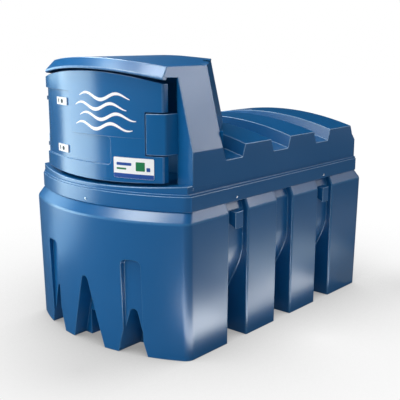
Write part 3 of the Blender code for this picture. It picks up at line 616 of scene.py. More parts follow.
def shapeCrown(body):
    # the deck behind the cabinet is drawn up, and the channels and the stepped rear end are cut into it
    l = lid
    places = (l["panelRear"], l["doorway"] - l["sillEnd"], l["doorway"], l["doorway"] + l["sillBehind"])
    bisectAt(body, [((0, y, 0), (0, 1, 0)) for y in places])
    bpy.ops.object.mode_set(mode='EDIT')
    selectParts(body, facesWhere=lambda centre, normal: normal.z > facing and centre.z > l["deck"] - near
                and centre.y > l["panelRear"])
    bpy.ops.mesh.extrude_region_move(TRANSFORM_OT_translate={"value": (0, 0, l["crownTop"] - l["deck"])})
    bpy.ops.object.mode_set(mode='OBJECT')
    top, lift, lean = l["crownTop"], l["channelDepth"], l["channelLean"]
    floor = top - lift
    for start, end in l["channels"]:
        section = [(start + lean, floor), (end - lean, floor), (end + lean, top + lift),
                   (start - lean, top + lift)]
        cut(body, section, -l["beside"], l["beside"], 'X')
    low, over, beyond = top - l["stepDrop"], top + l["overStep"], l["beyond"]
    slope = l["rearFall"] / (l["wallFront"] - l["stepFoot"])
    section = [(l["stepTop"] - 0.010, over), (l["stepTop"], top), (l["stepFoot"], low),
               (beyond, low - slope * (beyond - l["stepFoot"])), (beyond, over)]
    cut(body, section, -l["beside"], l["beside"], 'X')


def lidRounding(middle, way, turn):
    if middle.z < lid["bandLow"] + near:
        return lid["footRound"]
    if middle.z < lid["bandTop"] + near / 2:
        return lid["bandRound"]
    if middle.z < lid["wallFoot"] + near:
        return lid["ledgeRound"] if turn > 0 else 0
    if abs(middle.z - lid["deck"]) < near:
        return lid["sillRound"] if middle.y < lid["doorway"] else 0
    if middle.y < lid["panelRear"] + 2 * near:
        return 0
    return lid["hollowRound"] if turn < 0 else lid["ribRound"]


def lidRubbing(place):
    # the painted edge highlight: strongest on the crown's long edges, less on its outline, the ledge and the
    # sill
    if place.z < lid["bandTop"] - 0.01:
        return 0.0
    onOutline = place.z < lid["deck"] + 0.01 or abs(place.x) > lid["wallHalf"] - 0.006
    return lid["lighterRub"] if onOutline else 1.0


def crownDrop(x, z):
    return lid["crownDrop"] * (x / lid["wallHalf"]) ** 2 * share(z, lid["dropStart"], lid["dropFull"])


def sillLift(x, y, z):
    # in front of the doorway the sill runs along the door's curved foot
    if y > lid["doorway"] - lid["sillEnd"] / 2 or z > lid["deck"] + near:
        return 0.0
    lift = lid["sillRise"] * x * x - lid["sillDip"]
    return lift * share(z, lid["wallFoot"] + lid["liftGap"], lid["deck"] - lid["sillRound"])


def makeLid():
    body = shapeSkirt()
    shapeCrown(body)
    roundEdges(body, lidRounding, highlightOf=lidRubbing)
    sliceAcross(body, -lid["bandHalf"], lid["bandHalf"], lid["slices"])
    bowEnds(body, lambda x, y, z: arcDepth(x, lid["bows"][0 if y < 0 else 1]), lid)
    for vertex in body.data.vertices:
        vertex.co.z += sillLift(*vertex.co) - crownDrop(vertex.co.x, vertex.co.z)
    (frontX, frontY), (rearX, rearY) = lid["plinthFront"], lid["plinthRear"]
    plan = [(-frontX, frontY), (frontX, frontY), (rearX, rearY), (-rearX, rearY)]
    plinth = addPrism("plinth", plan, lid["plinthFoot"], lid["plinthTop"], 'Z')
    foot = lid["plinthFoot"] + 0.01
    roundEdges(plinth, lambda middle, way, turn: lid["ribRound"] if middle.z > foot else 0)
    combine(body, plinth, 'UNION')
    settle(body, "lid", "root", ["lid"])
    print("lid", len(body.data.polygons), "faces")


makeLid()


# The cabinet's side panels: upright foot, leaning panel, and the flange that frames the doorway

sidePanel = {
    "outer": 0.690, "skin": 0.010, "rear": -0.6533, "front": -0.942, "foot": 1.1003, "fold": 1.317,
    "lean": 0.26, "foldSoft": 0.005, "foldSteps": 6, "top": 1.8174,
    "flangeInner": 0.563, "flangeDepth": 0.020, "flangeTop": 1.762, "flangeOverlap": 0.0005,
    "earTip": (-1.071, 1.7645), "earCrease": (-1.0245, 1.8174),
    "frontRound": 0.005, "edgeRound": 0.003,
}


def leanOf(z):
    # the panel leans in above the fold, with a small round at the fold
    soft, fold = sidePanel["foldSoft"], sidePanel["fold"]
    if z > fold + soft:
        return sidePanel["lean"] * (z - fold)
    return sidePanel["lean"] * max(0.0, z - fold + soft) ** 2 / (4 * soft)


def makeSidePanel(name, sign, node, withEar):
    p = sidePanel
    inner = p["outer"] - p["skin"]
    ear = [(p["front"], p["flangeTop"]), p["earTip"], p["earCrease"]] if withEar else [(p["front"], p["top"])]
    outline = [(p["rear"], p["foot"]), (p["front"], p["foot"])] + ear + [(p["rear"], p["top"])]
    panel = addPrism(name, outline, inner, p["outer"], 'X')
    left, right = p["flangeInner"], inner + p["flangeOverlap"]
    flange = [(left, p["foot"]), (right, p["foot"]), (right, p["flangeTop"]), (left, p["flangeTop"])]
    combine(panel, addPrism("flange", flange, p["front"], p["front"] + p["flangeDepth"]), 'UNION')
    bisectAt(panel, [((0, 0, p["fold"]), (0, 0, 1))])

    def widthOf(middle, way, turn):
        if turn < 0 or middle.z < p["foot"] + near or middle.z > p["top"] - near:
            return 0
        if abs(middle.y - p["rear"]) < near:
            return p["edgeRound"] if middle.z > p["fold"] and middle.x > inner + near else 0
        if abs(way.z) > facing and middle.x > p["outer"] - near:
            return p["frontRound"]
        return p["edgeRound"]

    roundEdges(panel, widthOf)
    low, soft, steps = p["fold"] - p["foldSoft"], p["foldSoft"], p["foldSteps"]
    bisectAt(panel, [((0, 0, low + 2 * soft * step / steps), (0, 0, 1)) for step in range(steps + 1)])
    for vertex in panel.data.vertices:
        vertex.co.x -= leanOf(vertex.co.z) * share(vertex.co.x, p["flangeInner"], inner)
    if sign < 0:
        pickObject(panel)
        bpy.ops.object.mode_set(mode='EDIT')
        bpy.ops.mesh.select_all(action='SELECT')
        bpy.ops.transform.resize(value=(-1, 1, 1), center_override=(0, 0, 0))
        bpy.ops.mesh.normals_make_consistent(inside=False)
        bpy.ops.object.mode_set(mode='OBJECT')
    settle(panel, "cabinet", "root", [node])


makeSidePanel("sidePanelRight", 1, "cabinet_side_right", True)
makeSidePanel("sidePanelLeft", -1, "cabinet_side_left", False)
print("side panels ready")


# The roof: crowned skin, sloping fascia with its lip, left cheek, and hips over the rear bay

roof = {
    "top": 1.879, "skin": 0.010, "crown": 0.165, "rear": -0.235, "fallStart": -0.420, "fallSlope": 0.0845,
    "crease": -1.165, "creaseBow": 1.15, "bowFrom": -0.90, "span": 0.62,
    "edge": -1.210, "edgeHeight": 1.824, "edgeBow": 1.30, "edgeDrop": 0.185, "lip": 0.012, "thickness": 0.022,
    "half": 0.557, "endLean": 0.27, "lipLean": 0.001,
    "cheek": ((-0.405, -1.165, 1.879), (-0.470, -1.210, 1.824), (-0.557, -1.075, 1.879)),
    "panelRear": -0.653, "bayHalf": 0.242, "panelTop": 1.823, "panelTopHalf": 0.5743, "cheekDrop": 0.006,
    "hip": ((0.557, -0.653, 1.828), (0.242, -0.235, 1.8537), (0.306, -0.620, 1.864)),
    "creaseRound": 0.004, "edgeRound": 0.003, "lipRound": 0.007, "slices": 34, "sharp": 30,
}


def planeThrough(corners, sign=1):
    # point and normal of the plane through three corners; sign mirrors it across X
    first, second, third = (Vector((sign * x, y, z)) for x, y, z in corners)
    normal = (second - first).cross(third - first).normalized()
    return first, normal


def shapeRoofSection():
    r = roof
    under = r["top"] - r["skin"]
    rearTop = r["top"] - r["fallSlope"] * (r["rear"] - r["fallStart"])
    lipFoot = r["edgeHeight"] - r["lip"]
    outline = [(r["rear"], rearTop), (r["fallStart"], r["top"]), (r["crease"], r["top"]),
               (r["edge"], r["edgeHeight"]), (r["edge"] + r["lipLean"], lipFoot),
               (r["edge"] + r["thickness"], lipFoot), (r["crease"] + r["thickness"], under),
               (r["fallStart"], under), (r["rear"], rearTop - r["skin"])]
    skin = addPrism("cabinetRoof", outline, -r["span"], r["span"], 'X')
    cuts = [((sign * r["half"], 0, r["top"]), (sign, 0, r["endLean"])) for sign in (-1, 1)]
    run = Vector((r["half"] - r["bayHalf"], r["panelRear"] - r["rear"]))
    cuts += [((sign * r["half"], r["panelRear"], 0), (-sign * run.y, run.x, 0)) for sign in (-1, 1)]
    point, normal = planeThrough(r["cheek"])
    cuts.append((point, -normal if normal.z < 0 else normal))
    (topX, topY, _), lowEnd, (rearX, rearY, _) = r["cheek"]
    cuts.append((lowEnd, (topY - rearY, rearX - topX, 0)))
    bisectAt(skin, cuts, fill=True, clear=True)
    return skin


def roofRounding(middle, way, turn):
    r = roof
    if turn < 0 or (middle.z < r["top"] - 0.9 * r["skin"] and middle.y > r["crease"]):
        return 0
    if abs(way.x) > facing and abs(middle.y - r["crease"]) < 2 * near:
        return r["creaseRound"]
    onLip = abs(way.x) > facing and abs(middle.z - r["edgeHeight"]) < 2 * near
    return r["lipRound"] if onLip else r["edgeRound"]


def bendRoof(skin):
    r = roof
    for vertex in skin.data.vertices:
        x, y, z = vertex.co
        beyond = share(-y, -r["crease"], -r["edge"])
        radius = r["creaseBow"] + (r["edgeBow"] - r["creaseBow"]) * beyond
        vertex.co.y += arcDepth(x, radius) * share(-y, -r["bowFrom"], -r["crease"])
        down = share(r["top"] - z, 0, r["top"] - r["edgeHeight"])
        vertex.co.z -= (r["crown"] + (r["edgeDrop"] - r["crown"]) * down) * x * x


def addCheek():
    # closes the left front corner between the fascia and the side panel
    r = roof
    (topX, topY, topZ), (lowX, lowY, lowZ) = r["cheek"][:2]
    inset, skin = r["thickness"] / 4, r["skin"]
    topY += arcDepth(topX, r["creaseBow"]) + inset
    topZ -= r["crown"] * topX * topX + skin / 2
    lowY += arcDepth(lowX, r["edgeBow"]) + inset
    lowZ -= r["edgeDrop"] * lowX * lowX + 0.9 * r["lip"] + r["cheekDrop"]
    rear = sidePanel["front"] - gap
    flank = [(-r["half"] + gap, rear, r["panelTop"]),
             (-r["panelTopHalf"], rear, sidePanel["flangeTop"] - 2 * r["cheekDrop"])]
    corners = {}
    for inner in (0, 1):
        shift = inner * skin
        corners[(inner, 0, 1)] = (topX + shift, topY + shift, topZ)
        corners[(inner, 0, 0)] = (lowX + shift, lowY + shift, lowZ)
        for up, (x, y, z) in zip((1, 0), flank):
            corners[(inner, 1, up)] = (x + shift, y, z)
    cheek = addBlock("cheek", (0, 0, 0), (1, 1, 1))
    for vertex in cheek.data.vertices:
        vertex.co = corners[tuple(round(part) for part in vertex.co)]
    return cheek


def makeRoof():
    skin = shapeRoofSection()
    roundEdges(skin, roofRounding)
    sliceAcross(skin, -roof["half"], roof["half"], roof["slices"])
    bendRoof(skin)
    for sign in (-1, 1):
        point, normal = planeThrough(roof["hip"], sign)
        bisectAt(skin, [(point, normal if normal.z > 0 else -normal)], fill=True, clear=True)
    combine(skin, addCheek(), 'UNION')
    settle(skin, "cabinet", "root", ["cabinet_roof"], angle=roof["sharp"])
    print("roof", len(skin.data.polygons), "faces")


makeRoof()


# The door: drawn straight, then bent round its bow

door = {
    "front": 1.167, "bow": 1.30, "left": -0.608, "right": 0.546, "thickness": 0.042,
    "bottom": 1.108, "bottomRise": 0.055, "top": 1.797, "topDrops": (0.168, 0.235), "steps": 30,
    "notch": (0.435, 1.288, 1.556),
    "reliefDepth": 0.013, "reliefTop": 1.660, "reliefFold": 1.395, "reliefBottom": 1.216,
    "reliefUpper": -0.186, "reliefLower": 0.190, "reliefTurn": 0.030, "lowerStep": 0.002, "stepRun": 0.050,
    "edgeRound": 0.005, "latchRound": 0.010, "lockSideRound": 0.003, "backRound": 0.002,
    # the lock side's painted edge highlight is weaker, by the share given on the next line
    "reliefSoft": 0.003, "stepSoft": 0.0008, "slices": 32, "lockSideRub": 0.25, "rimWidth": 0.02,
    "beside": 0.7, "under": 1.0, "before": -1.3,        # where the cuts end, clear of the door
}


def bendAround(piece):
    # wraps a piece that is drawn straight at y = -front round the door's bow
    front, bow = door["front"], door["bow"]
    for vertex in piece.data.vertices:
        x, y, z = vertex.co
        radius = bow - (y + front)
        turn = math.asin(x / bow)
        vertex.co = (radius * math.sin(turn), bow - front - radius * math.cos(turn), z)


def doorOutline():
    d = door
    across = [d["left"] + (d["right"] - d["left"]) * step / d["steps"] for step in range(d["steps"] + 1)]
    bottom = [(x, d["bottom"] + d["bottomRise"] * x * x) for x in across]
    top = [(x, d["top"] - d["topDrops"][x > 0] * x * x) for x in reversed(across)]
    inner, low, high = d["notch"]
    return bottom + [(d["right"], low), (inner, low), (inner, high), (d["right"], high)] + top


def reliefOutline():
    d = door
    beyond, turn, low, high = d["left"] - 0.05, d["reliefTurn"], d["reliefLower"], d["reliefUpper"]
    outline = [(beyond, d["reliefBottom"])]
    outline += arc(low - turn, d["reliefBottom"] + turn, turn, -90, 0, 7)
    outline += arc(low - turn, d["reliefFold"] - turn, turn, 0, 90, 7)
    outline += reversed(arc(high + turn, d["reliefFold"] + turn, turn, 180, 270, 7))
    outline += arc(high - turn, d["reliefTop"] - turn, turn, 0, 90, 7)
    return outline + [(beyond, d["reliefTop"])]


def widenLatchEdge(panel):
    # the latch edge runs out towards its back, so that it stays square once the door is bent
    d = door
    pickObject(panel)
    bpy.ops.object.mode_set(mode='EDIT')
    selectParts(panel, facesWhere=lambda centre, normal: normal.x > facing and centre.x > d["right"] - near)
    bpy.ops.mesh.select_mode(type='VERT')
    back = bmesh.from_edit_mesh(panel.data)
    for corner in back.verts:
        corner.select = corner.select and corner.co.y > d["thickness"] - d["front"] - near
    back.select_flush_mode()
    widen = d["right"] * d["thickness"] / (d["bow"] - d["thickness"])
    bpy.ops.transform.translate(value=(widen, 0, 0))
    bpy.ops.object.mode_set(mode='OBJECT')


def makeDoor():
    d = door
    face, edge, lockSide = -d["front"], d["reliefLower"] - d["reliefTurn"], d["notch"][0]
    panel = addPrism("door", doorOutline(), face, d["thickness"] - d["front"])
    widenLatchEdge(panel)
    cut(panel, reliefOutline(), d["before"], d["reliefDepth"] - d["front"])
    stepped = face + d["lowerStep"]
    lower = [(edge, face), (edge + d["stepRun"], stepped), (d["beside"], stepped), (d["beside"], d["before"]),
             (edge, d["before"])]
    cut(panel, lower, d["under"], d["reliefFold"], 'Z')
    rimLow, rimHigh = d["reliefBottom"] - d["rimWidth"], d["reliefTop"] + d["rimWidth"]

    def widthOf(middle, way, turn):
        depth = middle.y + d["front"]
        if abs(middle.z - d["reliefFold"]) < near and middle.x > edge and depth < d["lowerStep"] + near:
            return d["stepSoft"]
        onRim = middle.x < d["left"] + near or middle.x > lockSide - near
        onRim = onRim or middle.z < rimLow or middle.z > rimHigh
        if not onRim:
            return d["reliefSoft"]
        if middle.x > d["right"] - near and abs(way.z) > facing:
            return d["latchRound"] if depth < near + d["lowerStep"] else d["lockSideRound"]
        if turn < 0 or depth > d["thickness"] - near:
            return d["backRound"]
        return d["lockSideRound"] if middle.x > lockSide - near else d["edgeRound"]

    # the rounded edges carry a painted highlight, weaker on the lock side
    roundEdges(panel, widthOf, steps=4,
               highlightOf=lambda place: d["lockSideRub"] if place.x > lockSide - 0.01 else 1.0)
    sliceAcross(panel, d["left"], d["right"], d["slices"])
    bendAround(panel)
    settle(panel, "door", "door_leaf", ["door"])
    print("door", len(panel.data.polygons), "faces")


makeDoor()


# Bright plates over the hinges, each with a slot, a dark sheet of painted shade inside the slot, and a bolt

hingePlate = {
    "left": -0.380, "right": -0.240, "halfHeight": 0.025, "thickness": 0.008, "corner": 0.003,
    "heights": {"Lower": 1.2745, "Upper": 1.5875}, "edgeRound": 0.0009, "slices": 6,
    "slotAt": -0.351, "slotHalf": (0.009, 0.016), "slotDepth": 0.006, "slotTurn": 0.98,
    "slotFloor": (0.004, 0.0065),
    "boltAt": -0.301, "boltRadius": 0.014, "boltHead": 0.0025, "boltSeat": 0.002, "boltRound": 0.001,
}


def plateOutline(left, right, low, high, corner):
    outline = arc(right - corner, high - corner, corner, 0, 90, 4)
    outline += arc(left + corner, high - corner, corner, 90, 180, 4)
    outline += arc(left + corner, low + corner, corner, 180, 270, 4)
    return outline + arc(right - corner, low + corner, corner, 270, 360, 4)


def discOutline(centreU, centreV, radius):
    return arc(centreU, centreV, radius, 0, 345, 23)


def makeHingePlates():
    h = hingePlate
    back = door["reliefDepth"] - door["front"] - gap
    face = back - h["thickness"]
    front = face + near
    halfX, halfZ = h["slotHalf"]
    for level, height in h["heights"].items():
        low, high = height - h["halfHeight"], height + h["halfHeight"]
        outline = plateOutline(h["left"], h["right"], low, high, h["corner"])
        plate = addPrism("hingePlate" + level, outline, face, back)
        slot = plateOutline(h["slotAt"] - halfX, h["slotAt"] + halfX, height - halfZ, height + halfZ,
                            halfX * h["slotTurn"])
        cut(plate, slot, face - 0.01, face + h["slotDepth"])
        roundEdges(plate, lambda middle, way, turn: h["edgeRound"] if middle.y < front and turn > 0 else 0,
                   steps=2)
        sliceAcross(plate, h["left"], h["right"], h["slices"])
        bendAround(plate)
        settle(plate, "paintedPlate", "door_leaf", ["hinge_plate_" + level.lower()])
        ring = discOutline(h["boltAt"], height, h["boltRadius"])
        bolt = addPrism("hingeBoltAndSlotShade" + level, ring, face - h["boltHead"], face + h["boltSeat"])
        roundEdges(bolt, lambda middle, way, turn: h["boltRound"] if middle.y < face else 0, steps=2)
        # a dark sheet sunk in the slot is painted shade, standing in for the shade in its hollow
        slotShadeSheet = addPrism("slotShade", slot, *(face + depth for depth in h["slotFloor"]))
        pickObject(bolt)
        slotShadeSheet.select_set(True)
        bpy.ops.object.join()
        bendAround(bolt)
        settle(bolt, "darkBoltAndSlotShade", "door_leaf", ())


makeHingePlates()


# Label low on the door, and a plain painted pattern of waves where the door is decorated

label = {
    "left": 0.214, "right": 0.489, "low": 1.143, "high": 1.272, "thickness": 0.002,
    "corner": 0.008, "slices": 8,
    "stripTop": 1.172, "stripInset": 0.001, "stripCorner": 0.006, "lift": 0.0004, "tileCorner": 0.004,
    "tiles": {        # left, right, low, high and finish
        "labelBarLong": (0.236, 0.342, 1.222, 1.240, "labelBlue"),
        "labelBarShort": (0.236, 0.306, 1.196, 1.207, "labelGreen"),
        "labelTile": (0.372, 0.432, 1.192, 1.248, "labelGreen"),
        "labelTileSmall": (0.442, 0.466, 1.192, 1.216, "labelBlue"),
    },
}


def addDecal(name, outline, lift, finish, nodes=(), depth=0.0006, slices=5):
    # a thin raised shape on the door's face
    face = -door["front"] - lift
    decal = addPrism(name, outline, face, face + depth)
    xs = [x for x, z in outline]
    sliceAcross(decal, min(xs), max(xs), slices)
    bendAround(decal)
    settle(decal, finish, "door_leaf", nodes)


def makeLabel():
    m = label
    base = m["thickness"] + gap - door["lowerStep"]
    outline = plateOutline(m["left"], m["right"], m["low"], m["high"], m["corner"])
    addDecal("labelPlate", outline, base, "label", ["label_plate"], depth=m["thickness"], slices=m["slices"])
    inset = m["stripInset"]
    strip = plateOutline(m["left"] + inset, m["right"] - inset, m["low"] + inset, m["stripTop"],
                         m["stripCorner"])
    addDecal("labelStrip", strip, base + m["lift"], "labelBlue", slices=m["slices"])
    for name, (left, right, low, high, finish) in m["tiles"].items():
        addDecal(name, plateOutline(left, right, low, high, m["tileCorner"]), base + m["lift"], finish)


waves = {
    "count": 4, "left": -0.120, "right": 0.400, "low": 1.455, "pitch": 0.062, "swing": 0.020, "length": 0.255,
    "halfWidth": 0.011, "shift": 0.045, "shorter": 0.02, "tip": 0.02, "taper": 0.6, "lift": 0.0004,
    "steps": 44, "slices": 16,
}


def makeWaves():
    w = waves
    for row in range(w["count"]):
        left = w["left"] + w["shift"] * (row % 2)
        right = w["right"] - w["shift"] * ((row + 1) % 2) - w["shorter"] * row
        upper, lower = [], []
        for step in range(w["steps"] + 1):
            along = step / w["steps"]
            x = left + (right - left) * along
            z = w["low"] + w["pitch"] * row + w["swing"] * math.sin(2 * math.pi * (x - left) / w["length"])
            half = w["halfWidth"] * math.sin(math.pi * (w["tip"] + (1 - 2 * w["tip"]) * along)) ** w["taper"]
            upper.append((x, z + half))
            lower.append((x, z - half))
        addDecal("doorWave" + str(row + 1), lower + upper[::-1], w["lift"], "paint", slices=w["slices"])


makeLabel()
makeWaves()
print("label and waves ready")


# Lock block, tie lugs and screws

lockBlock = {
    "left": 0.443, "middle": 0.500, "right": 0.560, "low": 1.296, "high": 1.548, "reach": 0.005,
    "corner": 0.026, "taper": 0.060, "seat": -0.9423, "spread": 0.012, "edgeRound": 0.005, "sharp": 28,
}


def makeLockBlock():
    b = lockBlock

    def face(x):
        return arcDepth(x, door["bow"]) - door["front"] - b["reach"]

    outline = [(b["left"], face(b["left"])), (b["middle"], face(b["middle"]))]
    outline += arc(b["right"] - b["corner"], face(b["right"]) + b["corner"], b["corner"], -75, 0, 9)
    outline += [(b["right"] + b["spread"], b["seat"]), (b["left"] + b["taper"], b["seat"]),
                (b["left"], face(b["left"]) + b["taper"])]
    block = addPrism("lockBlock", outline, b["low"], b["high"], 'Z')
    roundEdges(block, lambda middle, way, turn: 0 if middle.y > b["seat"] - near else b["edgeRound"], steps=4,
               sharpest=b["sharp"])
    settle(block, "door", "root", ["lock_block"])


tieLug = {
    "places": {"near": -0.532, "far": 0.536}, "halfWidth": 0.040, "back": 0.6853, "face": 0.735,
    "low": 0.778, "high": 0.888, "undercut": 0.026, "fall": 0.006, "edgeRound": 0.003,
}


def makeTieLugs():
    t = tieLug
    half, seat = t["halfWidth"], t["back"] + 2 * near
    section = [(t["back"], t["low"] + t["undercut"]), (t["face"], t["low"]), (t["face"], t["high"]),
               (t["back"], t["high"] + t["fall"])]
    for end, place in t["places"].items():
        for side, outline in (("right", section), ("left", mirrored(section))):
            lug = addPrism("tieLug" + side.title() + end.title(), outline, place - half, place + half)
            roundEdges(lug, lambda middle, way, turn: t["edgeRound"] if abs(middle.x) > seat else 0)
            settle(lug, "lug", "root", [f"tie_lug_{side}_{end}"])


screw = {
    "height": 0.983, "radius": 0.0065, "washer": 0.0080, "head": 0.0045, "headFoot": 0.0015,
    "washerTop": 0.0016, "band": 0.712, "front": 1.206,
}


def makeScrew(name, place, outward, node):
    # domed head on a flat washer, shaped from a low ball and a disc
    s = screw
    deselectAll()
    bpy.ops.mesh.primitive_uv_sphere_add(segments=20, ring_count=12, radius=s["radius"], location=(0, 0, 0))
    head = bpy.context.active_object
    head.name = name
    bpy.ops.object.mode_set(mode='EDIT')
    bpy.ops.mesh.select_all(action='SELECT')
    bpy.ops.mesh.bisect(plane_co=(0, 0, 0), plane_no=(0, 0, -1), use_fill=True, clear_outer=True)
    bpy.ops.mesh.select_all(action='SELECT')
    flatten = (s["head"] - s["headFoot"]) / s["radius"]
    bpy.ops.transform.resize(value=(1, 1, flatten), center_override=(0, 0, 0))
    bpy.ops.transform.translate(value=(0, 0, s["headFoot"]))
    bpy.ops.object.mode_set(mode='OBJECT')
    washer = addPrism("washer", discOutline(0, 0, s["washer"]), gap, s["washerTop"], 'Z')
    pickObject(head)
    washer.select_set(True)
    bpy.ops.object.join()
    head.rotation_euler = Vector(outward).to_track_quat('Z', 'Y').to_euler()
    head.location = place
    bpy.ops.object.transform_apply(location=True, rotation=True, scale=True)
    settle(head, "steel", "root", [node])


def makeScrews():
    s = screw
    for end, place in tieLug["places"].items():
        for side, sign in (("right", 1), ("left", -1)):
            makeScrew("lidScrew" + side.title() + end.title(), (sign * s["band"], place, s["height"]),
                      (sign, 0, 0), f"lid_screw_{side}_{end}")
    for end, sign in (("front", -1), ("rear", 1)):
        makeScrew("lidScrew" + end.title(), (0, sign * s["front"], s["height"]), (0, sign, 0),
                  "lid_screw_" + end)


makeLockBlock()
makeTieLugs()
makeScrews()
print("lock, lugs and screws ready")


# Pieces whose shape comes from the frame, with softened edges

softened = {"cabinetRound": 0.002, "hingeRound": 0.0006, "sharp": 25}


def softenNode(name, node, finish, width):
    piece = copyNode(node, name)
    roundEdges(piece, lambda middle, way, turn: width, steps=2, sharpest=softened["sharp"], clamp=True)
    settle(piece, finish, frame["nodes"][node]["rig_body"], [node])


softenNode("cabinetRear", "cabinet_rear", "cabinet", softened["cabinetRound"])
for level in ("Lower", "Upper"):
    for part in ("Leaf", "Bracket"):
        softenNode("hinge" + part + level, f"hinge_{part}_{level}".lower(), "steel",
                   softened["hingeRound"])


# Floor, world, lights and camera

stage = {
    "floorSize": 60, "shadeReach": 3.0, "shadeSamples": 12, "shade": (0.20, 0.97),
    "floorBright": (0.30, 1.02),
    "floorBounce": (0.6, 0.6, 0.6, 1), "floorMirrored": (0.10, 0.13, 0.145, 1),
    "worldFill": 0.5, "worldMirrored": (0.012, 0.05, 0.10, 1),
    "camera": (3.5992, -4.2487, 1.9882), "tilt": 77.688, "turn": 40.775, "lens": 66.417, "sensor": 36,
}
# painted light and painted shadow on the floor, in soft round patches
floorPaintedShading = {        # x, y, radius and what it adds to the brightness
    "brightSide": (1.15, -0.15, 1.0, 0.14),
    "shadeBehind": (1.20, 1.30, 0.9, -0.20),
    "shadeBefore": (0.30, -1.55, 0.9, -0.10),
}
white = (1, 1, 1, 1)


def addFloorPaintedShading(tree, value, x, y, radius, amount):
    # a soft round patch on the floor that adds to its brightness: painted light where the amount is positive,
    # painted shadow where it is negative
    centred = addNode(tree, 'ShaderNodeMapping', Location=(-x / radius, -y / radius, 0),
                      Scale=(1 / radius, 1 / radius, 1))
    tree.links.new(placeOn(tree), centred.inputs["Vector"])
    patch = addNode(tree, 'ShaderNodeTexGradient', gradient_type='QUADRATIC_SPHERE')
    tree.links.new(centred.outputs["Vector"], patch.inputs["Vector"])
    return calculate(tree, 'MULTIPLY_ADD', patch.outputs["Fac"], amount, value)


def splitBySight(tree, output, seen, mirroredIn, lighting):
    # the camera sees one shader, gloss mirrors another, and the third lights everything else
    path = addNode(tree, 'ShaderNodeLightPath')
    inner = addNode(tree, 'ShaderNodeMixShader')
    outer = addNode(tree, 'ShaderNodeMixShader')
    tree.links.new(path.outputs["Is Glossy Ray"], inner.inputs["Fac"])
    tree.links.new(lighting.outputs[0], inner.inputs[1])
    tree.links.new(mirroredIn.outputs[0], inner.inputs[2])
    tree.links.new(path.outputs["Is Camera Ray"], outer.inputs["Fac"])
    tree.links.new(inner.outputs[0], outer.inputs[1])
    tree.links.new(seen.outputs[0], outer.inputs[2])
    tree.links.new(outer.outputs[0], output.inputs["Surface"])


def makeFloor():
    bpy.ops.mesh.primitive_plane_add(size=stage["floorSize"], location=(0, 0, 0))
    floor = bpy.context.active_object
    floor.name = "floor"
    material, tree = newMaterial("floorWhite")
    tree.nodes.remove(tree.nodes["Principled BSDF"])
    # the camera sees the floor glow, darkened near the tank by a painted contact shadow from ambient
    # occlusion
    cover = addNode(tree, 'ShaderNodeAmbientOcclusion', samples=stage["shadeSamples"],
                    Distance=stage["shadeReach"])
    bright = ramp(tree, cover.outputs["AO"], *stage["floorBright"], *stage["shade"])
    for tone in floorPaintedShading.values():
        bright = addFloorPaintedShading(tree, bright, *tone)
    seen = addNode(tree, 'ShaderNodeEmission', Color=white)
    tree.links.new(bright, seen.inputs["Strength"])
    mirroredIn = addNode(tree, 'ShaderNodeEmission', Color=stage["floorMirrored"], Strength=1.0)
    bounced = addNode(tree, 'ShaderNodeBsdfDiffuse', Color=stage["floorBounce"])
    splitBySight(tree, tree.nodes["Material Output"], seen, mirroredIn, bounced)
    floor.data.materials.append(material)


def makeWorld():
    world = bpy.data.worlds.new("studio")
    bpy.context.scene.world = world
    world.use_nodes = True
    tree = world.node_tree
    backdrop = tree.nodes["Background"]
    backdrop.inputs["Color"].default_value = white
    backdrop.inputs["Strength"].default_value = 1.0
    fill = addNode(tree, 'ShaderNodeBackground', Color=white, Strength=stage["worldFill"])
    dim = addNode(tree, 'ShaderNodeBackground', Color=stage["worldMirrored"], Strength=1.0)
    splitBySight(tree, tree.nodes["World Output"], backdrop, dim, fill)
    bpy.context.scene.view_settings.view_transform = 'Standard'


# Each softbox: place, what it faces, width and height, radiance and colour.

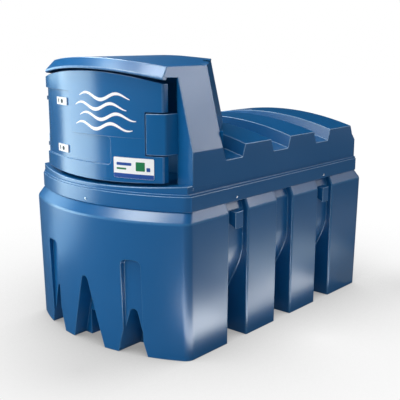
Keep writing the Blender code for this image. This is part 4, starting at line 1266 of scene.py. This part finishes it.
fillLights = {        # light the surfaces and show in no gloss
    "topFill": ((-0.6, -1.8, 5.0), (0, -0.3, 1.0), (3.4, 3.4), 4.2, (1, 1, 1)),
    "frontFill": ((-0.9, -5.4, 2.4), (0, -1.0, 1.0), (3.2, 2.4), 4.2, (1, 1, 1)),
    "insideFill": ((0.35, -0.9, 1.45), (-0.2, -0.3, 1.45), (0.3, 0.5), 1.0, (1, 1, 1)),
}
glossLights = {        # show in gloss alone
    "doorBox": ((-3.1, -2.84, 1.10), (-0.2, -1.1, 1.1), (2.48, 2.1), 6.0, (0.66, 0.84, 0.88)),
    "lowLeftBox": ((-2.5, -2.1, 0.012), (-2.5, -2.1, 1.0), (1.4, 1.5), 2.4, (0.45, 0.75, 1.0)),
    "shoulderLeftBox": ((-3.1, -1.35, 2.08), (-0.4, -1.1, 0.9), (1.3, 1.2), 3.4, (0.50, 0.80, 1.0)),
    "frontTopBox": ((-0.84, -3.4, 4.8), (0.2, -1.1, 1.0), (2.2, 1.1), 13.5, (1.0, 1.0, 0.93)),
    "fasciaBox": ((0.66, -2.0, 4.8), (0.4, -1.1, 1.8), (1.4, 0.9), 15.5, (0.90, 0.97, 1.0)),
    "fasciaLeftBox": ((-1.9, -1.9, 4.8), (0.0, -1.1, 1.8), (3.2, 0.9), 3.7, (0.42, 0.82, 1.0)),
    "ribEdgeBox": ((-2.6, 0.4, 4.8), (0.2, 0.1, 1.4), (1.6, 2.0), 16.0, (0.85, 0.95, 1.0)),
    "backTopBox": ((2.3, 4.4, 4.8), (0.7, 0.0, 1.1), (1.8, 2.4), 1.8, (1.0, 0.96, 0.95)),
    "panelBox": ((3.1, 1.9, 3.00), (0.6, -0.8, 1.6), (1.8, 1.0), 6.1, (0.98, 0.98, 1.0)),
    "shoulderNearBox": ((3.05, 2.2, 1.95), (0.7, -0.9, 0.9), (0.9, 0.8), 6.2, (1.0, 0.96, 0.92)),
    "shoulderFarBox": ((2.3, 3.1, 1.6), (0.7, 0.4, 0.9), (1.7, 0.8), 1.2, (1.0, 0.95, 0.92)),
    "lowRightNearBox": ((1.13, -1.15, 0.012), (1.13, -1.15, 1.0), (0.38, 1.7), 8.0, (1.0, 1.0, 0.97)),
    "lowRightFarBox": ((1.13, 0.3, 0.012), (1.13, 0.3, 1.0), (0.38, 1.2), 4.8, (1.0, 1.0, 0.97)),
    "lowRightOuterBox": ((1.60, 1.2, 0.012), (1.60, 1.2, 1.0), (0.6, 1.4), 2.2, (0.85, 0.97, 1.0)),
    "lowRightBackBox": ((1.95, 2.9, 0.012), (1.95, 2.9, 1.0), (0.9, 1.8), 0.4, (1, 1, 1)),
    "lowRightToeBox": ((1.0, 1.4, 0.012), (1.0, 1.4, 1.0), (0.5, 0.9), 0.3, (1.0, 0.9, 0.6)),
}


def addSoftbox(name, inGloss, place, aim, size, radiance, colour):
    # an area light whose face has a given radiance
    direction = Vector(aim) - Vector(place)
    turned = direction.to_track_quat('-Z', 'Y').to_euler()
    bpy.ops.object.light_add(type='AREA', location=place, rotation=turned)
    box = bpy.context.active_object
    box.name = name
    box.data.shape = 'RECTANGLE'
    box.data.size, box.data.size_y = size
    box.data.energy = radiance * math.pi * size[0] * size[1]
    box.data.color = colour
    box.visible_camera = False
    box.visible_diffuse = not inGloss
    box.visible_glossy = inGloss


def makeLights():
    for name, values in fillLights.items():
        addSoftbox(name, False, *values)
    for name, values in glossLights.items():
        addSoftbox(name, True, *values)


def makeCamera():
    tilt, turn = math.radians(stage["tilt"]), math.radians(stage["turn"])
    bpy.ops.object.camera_add(location=stage["camera"], rotation=(tilt, 0, turn))
    camera = bpy.context.active_object
    camera.data.lens = stage["lens"]
    camera.data.sensor_width = stage["sensor"]
    bpy.context.scene.camera = camera


makeFloor()
makeLights()
makeWorld()
makeCamera()
print("stage ready")
